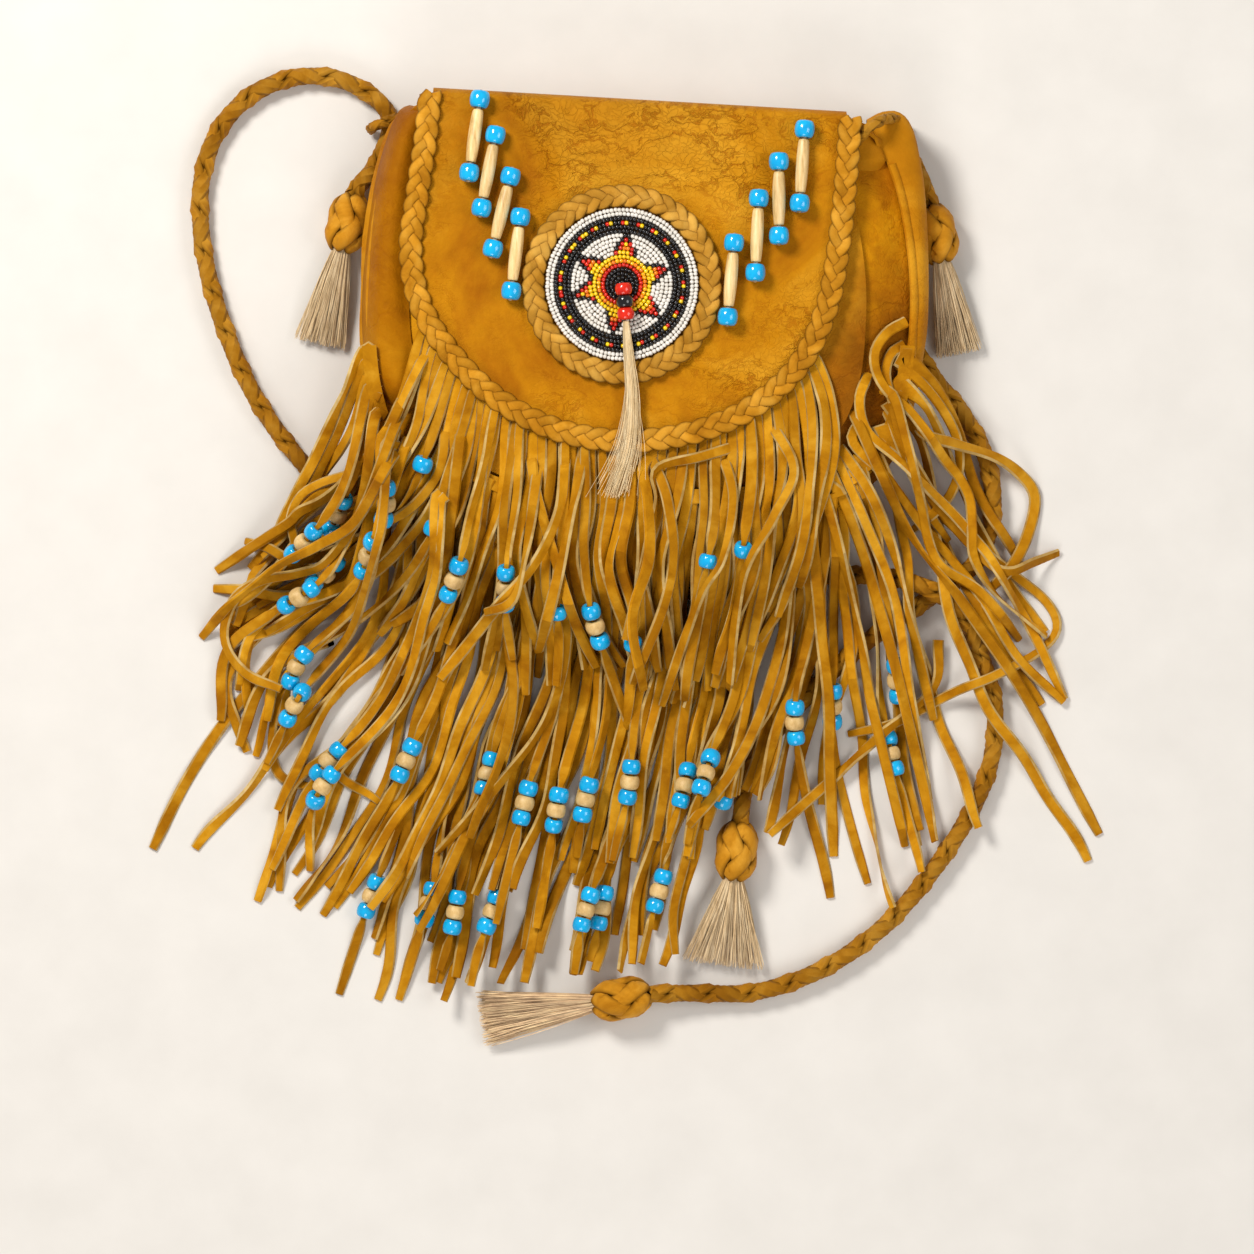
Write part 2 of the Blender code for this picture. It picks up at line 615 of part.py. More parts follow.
def lathe(bm, profile, start, direction, sides, closed=False):
    """Turn a profile of (distance along, radius) about a line."""
    along = Vector(direction).normalized()
    side = along.cross(Vector((0, 0, 1)))
    side = side.normalized() if side.length > 1e-6 else Vector((1, 0, 0))
    up = side.cross(along)
    rings = []
    for distance, radius in profile:
        ring = []
        for k in range(sides):
            turn = 2 * math.pi * (k + 0.5) / sides
            ring.append(tuple(Vector(start) + along * distance
                              + side * (radius * math.cos(turn)) + up * (radius * math.sin(turn))))
        rings.append(ring)
    loft(bm, rings, closed=closed)


def bead(name, centre, direction, radius, length, hole, colour, parent):
    """Barrel bead with its hole."""
    half = length / 2
    profile = [(-half, hole), (-half, radius * 0.72), (0, radius), (half, radius * 0.72), (half, hole)]
    bm = bmesh.new()
    lathe(bm, profile, centre, direction, 8, closed=True)
    return finish(name, bm, colour, 0.25, parent)


def build_drop(parent):
    """Three beads and a lock of horsehair over the rosette's centre."""
    top = ROSETTE_BASE + BACKING_THICKNESS + GAP + ROSETTE_THICKNESS
    height = top + GAP + DROP_BEAD_RADIUS
    x, y = ROSETTE_CENTRE
    step = DROP_BEAD_LENGTH + GAP
    names = (("drop_bead_upper", RED), ("drop_bead_middle", BLACK), ("drop_bead_lower", RED))
    for k, (name, colour) in enumerate(names):
        bead(name, (x + 0.8 + 0.5 * k, y - 2.5 - step * k, height), (0.08, -1, 0), DROP_BEAD_RADIUS,
             DROP_BEAD_LENGTH, 1.2, colour, parent)


def build_drop_hair(pile, parent):
    """Lock of horsehair from the lowest drop bead, over the braids and the fringe."""
    down = [np.array(from_photo(*point)) for point in DROP_HAIR_PX]
    for a, b in zip(down, down[1:]):
        pile.add(a, b, BRAID_WIDTH, flap_top(*a) + GAP, flap_top(*b) + GAP)
    middle = np.array(ROSETTE_CENTRE)
    plates = ROSETTE_BASE + BACKING_THICKNESS + GAP + ROSETTE_THICKNESS
    pile.add(middle, middle + 0.01, ROSETTE_RADIUS, plates, plates)
    edge = flap_edge_line(120)
    for a, b in zip(edge, edge[1:]):
        heights = [flap_top(*p) + BRAID_THICKNESS + 1.0 for p in (a, b)]
        pile.add(a, b, BRAID_WIDTH / 2, *heights)
    around = circle(ROSETTE_CENTRE, RING_RADIUS, 40)
    for a, b in zip(around, np.roll(around, -1, axis=0)):
        pile.add(a, b, BRAID_WIDTH / 2, ROSETTE_BASE + BRAID_THICKNESS, ROSETTE_BASE + BRAID_THICKNESS)
    line = smooth_curve([from_photo(*point) for point in DROP_HAIR_PX], 11)
    share = np.linspace(0, 1, len(line))
    halves = list(2.0 + 2.4 * share)
    thick = list(2.0 - 0.9 * share)
    first = ROSETTE_BASE + BACKING_THICKNESS + ROSETTE_THICKNESS + 2 * GAP + DROP_BEAD_RADIUS
    heights = settle(pile, line, halves, thick, first)
    rings = []
    for point, wide, tall, z in zip(line, halves, thick, heights):
        rings.append([(point[0] + wide * math.cos(math.radians(60 * k + 30)), point[1],
                       z + tall * math.sin(math.radians(60 * k + 30))) for k in range(6)])
    bm = bmesh.new()
    loft(bm, rings)
    finish("drop_hair", bm, HORSEHAIR, 0.6, parent)


def build_hair_pipes(parent):
    """Bone pipes laid on the flap, each on its thong between two beads."""
    reach_out = PIPE_LENGTH / 2 + 1.0 + CROW_BEAD_LENGTH / 2
    for number, (upper, lower) in enumerate(PIPE_BEADS_PX):
        a, b = np.array(from_photo(*upper)), np.array(from_photo(*lower))
        middle, along = (a + b) / 2, (b - a) / np.linalg.norm(b - a)
        ends = [middle - along * reach_out, middle + along * reach_out]
        rests = [flap_top(*end) + GAP + 0.05 + CROW_BEAD_RADIUS * math.cos(math.pi / 8) for end in ends]
        start = Vector((*ends[0], rests[0]))
        direction = Vector((*ends[1], rests[1])) - start
        centre = start + direction / 2
        half = PIPE_LENGTH / 2
        tip = half + 1.0 + CROW_BEAD_LENGTH + 0.8
        profile = [(-tip, THONG_RADIUS), (-half - 0.1, THONG_RADIUS), (-half, PIPE_END_RADIUS),
                   (0, PIPE_RADIUS), (half, PIPE_END_RADIUS), (half + 0.1, THONG_RADIUS), (tip, THONG_RADIUS)]
        bm = bmesh.new()
        lathe(bm, profile, centre, direction, 6)
        finish(f"hair_pipe_{number + 1}", bm, BONE, 0.4, parent)
        for k, end in enumerate((start, start + direction)):
            bead(f"blue_bead_{2 * number + k + 1}", end, direction, CROW_BEAD_RADIUS, CROW_BEAD_LENGTH,
                 CROW_BEAD_HOLE, BLUE, parent)


# Cords

def knot_entry(centre, along):
    """Last two points of a cord that comes straight into a knot, the one at the knot last."""
    near = centre - along * (KNOT_LENGTH / 2 + GAP + 0.1)
    return [tuple(near - along * CORD_DIAMETER), tuple(near)]


def route_curve(route, start=(), end=(), spacing=2.4):
    """Smooth line of a cord, between the straight points at its ends."""
    points = list(reversed(start)) + [(*from_photo(px, py), z) for px, py, z in route] + list(end)
    fine = smooth_curve(points, 400)
    line = smooth_curve(points, max(4, int(curve_length(fine) / (CORD_DIAMETER * spacing)) + 1))
    line[:, 2] = np.maximum(line[:, 2], CORD_DIAMETER / 2 + GAP)
    if len(start):
        line = np.vstack([line[:1], line[0] + (np.array(start[0]) - start[1]) * 0.3, line[1:]])
    if len(end):
        line = np.vstack([line[:-1], line[-1] + (np.array(end[0]) - end[1]) * 0.3, line[-1:]])
    return line


def build_cord(name, line, parent):
    data = bpy.data.curves.new(name, "CURVE")
    data.dimensions = "3D"
    data.bevel_depth = CORD_DIAMETER / 2 * MM
    data.bevel_resolution = 2
    data.use_fill_caps = True
    spline = data.splines.new("POLY")
    spline.points.add(len(line) - 1)
    for target, point in zip(spline.points, line):
        target.co = (point[0] * MM, point[1] * MM, point[2] * MM, 1.0)
    made = bpy.data.objects.new(name, data)
    data.materials.append(material(name, BRAID_TAN, 0.7))
    bpy.context.scene.collection.objects.link(made)
    made.parent = parent
    return made


def build_knot(name, centre_px, toward_px, parent):
    """Woven ball knot: a barrel whose faces swell and dip like its interlaced strands."""
    centre = Vector((*from_photo(*centre_px), KNOT_RADIUS + GAP))
    toward = Vector((*from_photo(*toward_px), KNOT_RADIUS + GAP))
    along = (toward - centre).normalized()
    side = along.cross(Vector((0, 0, 1))).normalized()
    up = side.cross(along)
    rings = []
    for i, (share, size) in enumerate([(-1.0, 0.45), (-0.82, 0.78), (-0.42, 0.97), (0, 1.0), (0.42, 0.97),
                                       (0.82, 0.78), (1.0, 0.45)]):
        ring = []
        for k in range(12):
            turn = math.radians(30 * k)
            swell = 1.0 if (k + i) % 2 else 0.93
            radius = KNOT_RADIUS * size * swell
            ring.append(tuple(centre + along * (share * KNOT_LENGTH / 2)
                              + side * (radius * math.cos(turn)) + up * (radius * math.sin(turn))))
        rings.append(ring)
    bm = bmesh.new()
    loft(bm, rings)
    finish(name, bm, BRAID_TAN, 0.7, parent)
    return centre, along, side


def build_tassel(name, centre, along, side, length, width, parent):
    """Horsehair bundle that leaves the knot and spreads flat on the table."""
    start = centre + along * (KNOT_LENGTH / 2 + GAP)
    rings = []
    sections = ((0.0, 4.2, 4.2), (0.3, width * 0.28, 6.2), (0.7, width * 0.42, 6.4), (1.0, width * 0.5, 5.0))
    for share, half_width, half_height in sections:
        middle = start + along * (length * share)
        middle.z = (KNOT_RADIUS + GAP) * (1 - share) + (half_height + GAP) * share
        ring = []
        for k in range(8):
            turn = math.radians(45 * k + 22.5)
            ring.append(tuple(middle + side * (half_width * math.cos(turn))
                              + Vector((0, 0, half_height * math.sin(turn)))))
        rings.append(ring)
    bm = bmesh.new()
    loft(bm, rings)
    finish(name, bm, HORSEHAIR, 0.6, parent)
    return start + along * length


def build_strap_loop(name, points, parent):
    """Short braided keeper that holds the strap at a top corner of the pouch."""
    line = smooth_curve(points, 2 * len(points) - 1)
    bm = bmesh.new()
    rings = []
    for i, point in enumerate(line):
        before, after = line[max(i - 1, 0)], line[min(i + 1, len(line) - 1)]
        along = Vector(after - before).normalized()
        side = along.cross(Vector((0.3, 1, 0))).normalized()
        up = side.cross(along)
        radius = KEEPER_RADIUS * (0.88 if i % 2 else 1.0)
        rings.append([tuple(Vector(point) + side * (radius * math.cos(math.radians(45 * k)))
                            + up * (radius * math.sin(math.radians(45 * k)))) for k in range(8)])
    loft(bm, rings)
    finish(name, bm, BRAID_TAN, 0.7, parent)


# Fringe

GRID_LOW = (-250.0, -350.0)
GRID_SIZE = (412, 400)


class Pile:
    """Heights of what lies on the table so far, on a square grid, so that strips can lie on it."""

    def __init__(self):
        self.x = GRID_LOW[0] + CELL * np.arange(GRID_SIZE[0])
        self.y = GRID_LOW[1] + CELL * np.arange(GRID_SIZE[1])
        self.grid_x, self.grid_y = np.meshgrid(self.x, self.y, indexing="ij")
        self.height = np.zeros(GRID_SIZE)

    def add_pouch(self):
        near = pouch_top(self.grid_x, self.grid_y)
        for dx in (-3, -1.5, 0, 1.5, 3):
            for dy in (-3, -1.5, 0, 1.5, 3):
                near = np.maximum(near, pouch_top(self.grid_x + dx, self.grid_y + dy))
        self.height = np.maximum(self.height, near)

    def ease(self, slope):
        """Let every height fall away no steeper than a slope, as leather hangs from an edge."""
        drop = slope * CELL
        for _ in range(int(HANG_REACH / CELL)):
            h = self.height
            h[1:] = np.maximum(h[1:], h[:-1] - drop)
            h[:-1] = np.maximum(h[:-1], h[1:] - drop)
            h[:, 1:] = np.maximum(h[:, 1:], h[:, :-1] - drop)
            h[:, :-1] = np.maximum(h[:, :-1], h[:, 1:] - drop)

    def window(self, a, b, half):
        low = np.minimum(a, b) - half - 2 * CELL
        high = np.maximum(a, b) + half + 2 * CELL
        i0, j0 = [max(0, int((low[k] - GRID_LOW[k]) / CELL)) for k in (0, 1)]
        i1, j1 = [min(GRID_SIZE[k], int((high[k] - GRID_LOW[k]) / CELL) + 2) for k in (0, 1)]
        gx, gy = self.grid_x[i0:i1, j0:j1], self.grid_y[i0:i1, j0:j1]
        step = b - a
        length2 = max(float(step @ step), 1e-6)
        share = np.clip(((gx - a[0]) * step[0] + (gy - a[1]) * step[1]) / length2, 0, 1)
        away = np.hypot(gx - a[0] - share * step[0], gy - a[1] - share * step[1])
        return (slice(i0, i1), slice(j0, j1)), share, away <= half + 0.75 * CELL

    def need(self, a, b, half):
        """Shares along a segment, and the heights found under it."""
        area, share, inside = self.window(a, b, half)
        return share[inside], self.height[area][inside]

    def add(self, a, b, half, top_a, top_b):
        area, share, inside = self.window(a, b, half)
        slope = min(abs(top_b - top_a) / max(float(np.linalg.norm(b - a)), 1e-6), 2.0) * CELL * 0.6
        top = top_a + (top_b - top_a) * share + slope
        block = self.height[area]
        block[inside] = np.maximum(block[inside], top[inside])


def settle(pile, line, halves, thick, first, fixed=1):
    """Heights of a strip's stations so that it lies on the pile."""
    count = len(line)
    heights = np.full(count, first, dtype=float)
    for i in range(fixed, count):
        heights[i] = thick[i] + GAP
    for _ in range(60):
        worst = 0.0
        for i in range(count - 1):
            a, b = line[i], line[i + 1]
            half = max(halves[i], halves[i + 1])
            share, found = pile.need(a, b, half)
            if len(share) == 0:
                continue
            slope = abs(heights[i + 1] - heights[i]) / max(float(np.linalg.norm(b - a)), 1.0)
            lift = max(thick[i], thick[i + 1]) + STRIP_CLEARANCE + 0.5 * CELL * min(slope, 1.5)
            short = found + lift - (heights[i] * (1 - share) + heights[i + 1] * share)
            if i < fixed:
                short = np.where(share > 0.3, short, 0.0)
            k = int(np.argmax(short))
            if short[k] <= 0.01:
                continue
            worst = max(worst, float(short[k]))
            s = float(share[k])
            if i < fixed:
                if heights[i + 1] >= first + BEND_RISE:
                    continue
                heights[i + 1] = min(heights[i + 1] + short[k] / s, first + BEND_RISE)
                continue
            scale = short[k] / ((1 - s) ** 2 + s ** 2)
            heights[i] += scale * (1 - s)
            heights[i + 1] += scale * s
        if worst < 0.02:
            break
    return heights


def blend_guides(guides, position):
    """Guide at a fractional position, as offsets from its first point, in millimetres."""
    low = min(int(position), len(guides) - 2)
    part = position - low
    mixed = np.array(guides[low]) * (1 - part) + np.array(guides[low + 1]) * part
    points = np.array([from_photo(*p) for p in mixed])
    return points - points[0]


def fringe(name, pile, header, guides, count, stations, beaded, seed, colour, parent, header_height):
    """One leather piece: a header along a seam and the strips cut from it, each laid on the pile."""
    rng = random.Random(seed)
    edges = np.linspace(0, 1, 3 * count + 1)
    line = smooth_curve(header, 240)

    def on_header(u):
        position = u * (len(line) - 1)
        low = min(int(position), len(line) - 2)
        point = line[low] + (line[low + 1] - line[low]) * (position - low)
        along = line[low + 1] - line[low]
        return point, along / np.linalg.norm(along)

    bm = bmesh.new()
    back_top, back_low, front_top, front_low = [], [], [], []
    for u in edges:
        point, along = on_header(u)
        out = np.array([along[1], -along[0]])
        z = header_height(point[0], point[1])
        inner, outer = point, point + out * HEADER_WIDTH
        z_out = header_height(outer[0], outer[1])
        z_out = z if z_out < z - 4 else z_out
        back_top.append(bm.verts.new((*inner, z + STRIP_THICKNESS / 2)))
        back_low.append(bm.verts.new((*inner, z - STRIP_THICKNESS / 2)))
        front_top.append(bm.verts.new((*outer, z_out + STRIP_THICKNESS / 2)))
        front_low.append(bm.verts.new((*outer, z_out - STRIP_THICKNESS / 2)))
    last = len(edges) - 1
    for i in range(last):
        bm.faces.new((back_top[i], back_top[i + 1], front_top[i + 1], front_top[i]))
        bm.faces.new((back_low[i], front_low[i], front_low[i + 1], back_low[i + 1]))
        bm.faces.new((back_top[i], back_low[i], back_low[i + 1], back_top[i + 1]))
    bm.faces.new((back_top[0], front_top[0], front_low[0], back_low[0]))
    bm.faces.new((back_top[last], back_low[last], front_low[last], front_top[last]))
    for number in range(count):
        i, j = 3 * number, 3 * number + 2
        u = (number + 0.5) / count
        a, b = np.array(front_top[i].co[:2]), np.array(front_top[j].co[:2])
        start = (a + b) / 2
        shape = blend_guides(guides, u * (len(guides) - 1))
        sway = [0.0] + [rng.uniform(-1, 1) * 2.2 * k for k in range(1, 4)] + [rng.uniform(-8, 8)]
        shape = shape * rng.uniform(0.93, 1.04) + np.column_stack([sway, [v * 0.3 for v in sway]])
        across = (b - a) / np.linalg.norm(b - a)
        bend = start + np.array([across[1], -across[0]]) * BEND_LENGTH
        path = np.vstack([start, smooth_curve(bend + shape, stations)])
        beads_at = beaded.get(number)
        halves = [float(np.linalg.norm(b - a)) / 2] + [STRIP_WIDTH / 2] * (len(path) - 1)
        thick = [STRIP_THICKNESS / 2] * len(path)
        kinds = ["strip"] * len(path)
        if beads_at is not None:
            path, halves, thick, kinds = thread_beads(path, halves, thick, beads_at)
        first = (front_top[i].co.z + front_low[i].co.z) / 2
        heights = settle(pile, path, halves, thick, first)
        sides = 6 if beads_at is not None else 4
        grow_strip(bm, (front_top, front_low), i, path, heights, halves, thick, kinds, sides)
        for k in range(len(path) - 1):
            pile.add(path[k], path[k + 1], max(halves[k], halves[k + 1]),
                     heights[k] + max(thick[k], thick[k + 1]), heights[k + 1] + max(thick[k], thick[k + 1]))
    for inner, outer, after in zip(back_top, front_top, front_top[1:]):
        middle = np.array((inner.co + outer.co) / 2)
        onward = middle + np.array(after.co - outer.co)
        pile.add(middle[:2], onward[:2], HEADER_WIDTH / 2, middle[2], onward[2])
    for number in range(count):
        i = 3 * number + 2
        bm.faces.new((front_top[i], front_top[i + 1], front_low[i + 1], front_low[i]))
    return finish(name, bm, colour, 0.75, parent)


def thread_beads(path, halves, thick, share):
    """Add stations for a row of three beads, fused to the strip, at a share of its length."""
    run = np.concatenate([[0], np.cumsum(np.linalg.norm(np.diff(path, axis=0), axis=1))])
    start = run[-1] * share
    half = CROW_BEAD_LENGTH / 2
    marks = []
    for k in range(3):
        at = start + k * CROW_BEAD_LENGTH
        marks += [(at, CROW_BEAD_RADIUS * 0.62), (at + half, CROW_BEAD_RADIUS)]
    end = start + 3 * CROW_BEAD_LENGTH
    marks.append((end, CROW_BEAD_RADIUS * 0.62))
    rows = [(r, h, t, "strip") for r, h, t in zip(run, halves, thick)
            if r < start - 5 or r > end + 5]
    rows += [(at, radius, radius, "bead") for at, radius in marks]
    rows += [(start - 1.5, STRIP_WIDTH * 0.3, STRIP_THICKNESS, "strip"),
             (end + 1.5, STRIP_WIDTH * 0.3, STRIP_THICKNESS, "strip")]
    rows.sort(key=lambda row: row[0])
    where = [row[0] for row in rows]
    placed = np.column_stack([np.interp(where, run, path[:, k]) for k in range(2)])
    return placed, [r[1] for r in rows], [r[2] for r in rows], [r[3] for r in rows]


def grow_strip(bm, fronts, i, path, heights, halves, thick, kinds, sides):
    """Quads from the header's front edge along a strip to its cut end."""
    top, low = fronts
    previous = [low[i], low[i + 1], low[i + 2], top[i + 2], top[i + 1], top[i]]
    for k in range(1, len(path)):
        before = path[k - 1]
        after = path[min(k + 1, len(path) - 1)]
        along = (after - before) / np.linalg.norm(after - before)
        side = np.array([-along[1], along[0]])
        wide, tall, z = halves[k], thick[k], heights[k]
        if kinds[k] == "bead":
            marks = [(math.cos(math.radians(t)) * wide, math.sin(math.radians(t)) * tall)
                     for t in (-150, -90, -30, 30, 90, 150)]
        elif sides == 6:
            marks = [(-wide, -tall), (0, -tall), (wide, -tall), (wide, tall), (0, tall), (-wide, tall)]
        else:
            marks = [(-wide, -tall), (wide, -tall), (wide, tall), (-wide, tall)]
        ring = [bm.verts.new((*(path[k] + side * across), z + up)) for across, up in marks]
        if len(previous) == 6 and len(ring) == 4:
            a, b = previous, ring
            for face in ((a[0], a[1], b[0]), (a[1], a[2], b[1], b[0]), (a[2], a[3], b[2], b[1]),
                         (a[3], a[4], b[3], b[2]), (a[4], a[5], b[3]), (a[5], a[0], b[0], b[3])):
                bm.faces.new(face)
        else:
            for m in range(len(ring)):
                n = (m + 1) % len(ring)
                bm.faces.new((previous[m], previous[n], ring[n], ring[m]))
        previous = ring
    bm.faces.new(previous)


def outline_stretch(share, start, end, count=24):
    """Points of the outline, scaled by a share, between two angles in degrees."""
    points = []
    for angle in np.linspace(start, end, count):
        turn = math.radians(angle)
        points.append(tuple(CENTRE + share * reach(angle) * np.array([math.cos(turn), math.sin(turn)])))
    return points


def build_fringes(bag, flap, cords, lumps):
    """All fringe, from the lowest on the table to the flap's; returns the pile with its heights."""
    pile = Pile()
    pile.add_pouch()
    for middle, along, tip, width in lumps:
        head = middle - along * (KNOT_LENGTH / 2)
        foot = middle + along * (KNOT_LENGTH / 2)
        pile.add(np.array(head[:2]), np.array(foot[:2]), KNOT_RADIUS, *[2 * KNOT_RADIUS + 1.0] * 2)
        pile.add(np.array(foot[:2]), np.array(tip[:2]), width / 2, *[2 * KNOT_RADIUS - 4.0] * 2)
    for line in cords:
        fine = smooth_curve(line, 2 * len(line))
        for a, b in zip(fine, fine[1:]):
            tops = [a[2] + CORD_DIAMETER / 2, b[2] + CORD_DIAMETER / 2]
            pile.add(a[:2], b[:2], CORD_DIAMETER / 2 + 0.6, *tops)

    pile.ease(HANG_SLOPE)

    def over_pouch(x, y):
        share, found = pile.need(np.array([x, y]), np.array([x + 0.01, y]), 6.0)
        return float(found.max()) + STRIP_CLEARANCE + STRIP_THICKNESS / 2

    fringe("back_fringe", pile, outline_stretch(1.008, 228, 312), BACK_FRINGE_GUIDES, 9, 6,
           {2: 0.80, 6: 0.79}, 11, FRINGE_TAN, bag, lambda x, y: 24.0)
    fringe("front_fringe", pile, outline_stretch(0.815, 216, 324), FRONT_FRINGE_GUIDES, 12, 7,
           {4: 0.74, 7: 0.72, 9: 0.72}, 3, FRINGE_TAN, bag, over_pouch)
    fringe("side_fringe_left", pile, outline_stretch(0.955, 186, 226), LEFT_FRINGE_GUIDES, 6, 7,
           {1: 0.52, 5: 0.8}, 5, FRINGE_TAN, bag, over_pouch)
    fringe("side_fringe_right", pile, list(reversed(outline_stretch(0.955, 316, 354))), RIGHT_FRINGE_GUIDES,
           7, 7, {5: 0.7}, 9, FRINGE_TAN, bag, over_pouch)
    edge = flap_edge_line(200)
    out = []
    for k in range(52, 151, 7):
        along = edge[k + 1] - edge[k - 1]
        along /= np.linalg.norm(along)
        out.append(tuple(edge[k] + np.array([along[1], -along[0]]) * (GAP + 0.3)))

    def at_flap(x, y):
        inward = np.array([FLAP_CENTRE_X, 26.0]) - (x, y)
        inward = inward / np.linalg.norm(inward) * 2.0
        return float(max(flap_under(x + inward[0], y + inward[1]), over_pouch(x, y)))

    fringe("flap_fringe", pile, out, FLAP_FRINGE_GUIDES, 19, 7,
           {2: 0.62, 8: 0.62}, 21, FRINGE_TAN, flap, at_flap)
    return pile


def main():
    clear_scene()
    bag = bpy.data.objects.new("bag_frame", None)
    flap = bpy.data.objects.new("flap_hinge", None)
    for empty in (bag, flap):
        bpy.context.scene.collection.objects.link(empty)
    flap.location = (0.0, fold_y(0.0) * MM, (SPINE_HEIGHT + 0.4) * MM)
    bpy.context.view_layer.update()

    build_back_panel(bag)
    build_gusset(bag)
    build_piping(bag)
    build_front_panel(bag)

    build_flap_panel(flap)
    build_flap_braid(flap)
    build_ring_braid(flap)
    build_rosette(flap)
    build_drop(flap)
    build_hair_pipes(flap)

    ends, lumps = {}, []
    for name, (centre, toward, length, width) in KNOTS.items():
        middle, along, side = build_knot(f"knot_{name}", centre, toward, bag)
        tip = build_tassel(f"tassel_{name}", middle, along, side, length, width, bag)
        ends[name] = knot_entry(middle, along)
        lumps.append((middle, along, tip, width))
    lines = [
        route_curve(STRAP_LEFT_ROUTE, ends["left"], ends["end"]),
        route_curve(STRAP_RIGHT_ROUTE, (), ends["bottom"]),
        route_curve(TAIL_RIGHT_ROUTE, (), ends["right"]),
    ]
    for name, line in zip(("strap_cord_left", "strap_cord_right", "strap_tail_right"), lines):
        build_cord(name, line, bag)
    for name, points in KEEPERS.items():
        build_strap_loop(f"strap_loop_{name}", points, bag)

    pile = build_fringes(bag, flap, lines, lumps)
    build_drop_hair(pile, flap)


main()
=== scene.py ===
"""Leather shoulder pouch with beaded fringe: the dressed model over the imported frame.

Sizes are in millimetres and are scaled to metres when a mesh is made.
+Z is up, out of the pouch's front; +Y is towards the flap's fold; z = 0 is the table.
"""
import json
import math
import random

import bpy
import numpy as np
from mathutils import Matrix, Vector, noise as blender_noise

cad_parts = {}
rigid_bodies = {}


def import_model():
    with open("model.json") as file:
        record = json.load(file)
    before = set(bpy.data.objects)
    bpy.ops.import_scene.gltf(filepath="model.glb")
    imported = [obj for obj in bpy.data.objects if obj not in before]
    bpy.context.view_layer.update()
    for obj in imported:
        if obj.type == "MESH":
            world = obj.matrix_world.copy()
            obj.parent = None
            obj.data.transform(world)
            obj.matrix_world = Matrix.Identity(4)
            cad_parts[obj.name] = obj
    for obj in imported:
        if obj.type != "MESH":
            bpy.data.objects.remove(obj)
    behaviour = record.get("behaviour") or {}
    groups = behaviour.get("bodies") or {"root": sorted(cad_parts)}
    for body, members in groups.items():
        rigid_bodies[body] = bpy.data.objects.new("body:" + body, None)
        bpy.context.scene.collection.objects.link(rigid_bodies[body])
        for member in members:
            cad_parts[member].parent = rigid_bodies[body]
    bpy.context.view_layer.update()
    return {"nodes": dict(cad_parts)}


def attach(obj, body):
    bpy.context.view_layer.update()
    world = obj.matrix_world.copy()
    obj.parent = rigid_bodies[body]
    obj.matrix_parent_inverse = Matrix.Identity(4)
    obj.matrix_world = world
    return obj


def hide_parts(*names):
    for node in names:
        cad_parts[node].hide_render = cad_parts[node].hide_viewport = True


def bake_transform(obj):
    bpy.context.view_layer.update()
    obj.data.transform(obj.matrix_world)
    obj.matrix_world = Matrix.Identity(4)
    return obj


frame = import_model()

# Sizes shared with the CAD

MM = 0.001
GAP = 0.3
LEATHER = 1.6
FLAP_LEATHER = 1.8
POUCH_WIDTH = 267.0
POUCH_HEIGHT = 203.0
POUCH_CENTRE_Y = -4.5
FOLD_SLOPE = -0.058
RIM_HEIGHT = 31.0
SPINE_HEIGHT = 40.6
SEAM_HEIGHT = 40.2
CROWN_HEIGHT = 46.0
MOUTH_EDGE_Y = 68.0
GUSSET_HEM_Y = 75.0
PIPING_RADIUS = 2.2
FLAP_CENTRE_X = -6.7
FLAP_STANDOFF = 0.8
BRAID_WIDTH = 11.0
BRAID_THICKNESS = 3.4
ROSETTE_RADIUS = 36.0
ROSETTE_CENTRE = (-9.5, 10.5)
ROSETTE_THICKNESS = 2.0
BACKING_THICKNESS = 1.2
BEAD_ROW = 2.0
DROP_BEAD_RADIUS = 4.0
DROP_BEAD_LENGTH = 5.5
CROW_BEAD_RADIUS = 4.75
CROW_BEAD_LENGTH = 8.0
CROW_BEAD_HOLE = 1.6
PIPE_LENGTH = 25.0
PIPE_RADIUS = 3.15
PIPE_END_RADIUS = 2.4
THONG_RADIUS = 1.1
HEADER_WIDTH = 5.0
CORD_DIAMETER = 10.0
KNOT_RADIUS = 10.3
KNOT_LENGTH = 27.0
PIXEL = 0.475
ORIGIN_PX = (642.0, 310.0)
OUTLINE_SHARES = [
    (0.00, -1.00), (0.28, -1.00), (0.55, -0.965), (0.76, -0.84), (0.90, -0.63), (0.975, -0.36),
    (1.00, -0.05), (1.00, 0.22), (0.975, 0.50), (0.935, 0.74), (0.875, 0.90), (0.77, 0.975),
    (0.50, 0.99), (0.22, 1.00),
]
SIDE_SECTION = [(0.72, 0.0), (0.80, 5.0), (0.845, 11.0), (1.0, 21.0), (0.985, 27.0), (0.945, RIM_HEIGHT)]
SPINE_SECTION = [(0.84, 0.0), (0.92, 5.0), (0.955, 11.0), (0.98, 21.0), (0.985, 31.0), (0.98, SPINE_HEIGHT)]
GUSSET_SHARES = (0.945, 0.90, 0.84, 0.77)
FRONT_SHARE = 0.79
FLAP_EDGE = [
    (-100, 99), (-102, 79), (-106, 52), (-109, 27), (-105, 3), (-93, -18), (-71, -41), (-42, -57),
    (-9, -63), (24, -59), (52, -47), (74, -27), (87, 0), (93, 32), (96, 60), (98, 87),
]
PIPE_BEADS_PX = [
    ((481, 105.4), (471, 176)), ((496.6, 141), (483.3, 211)), ((511.6, 181.7), (494.5, 252)),
    ((521.6, 220.7), (512.5, 295)), ((803, 133.5), (798, 208)), ((777.4, 166), (777.4, 240)),
    ((757.5, 202), (754, 277)), ((733, 246), (726.6, 321)),
]
DROP_HAIR_PX = [(626, 324.8), (629, 362), (632, 400), (628, 450), (612, 500)]
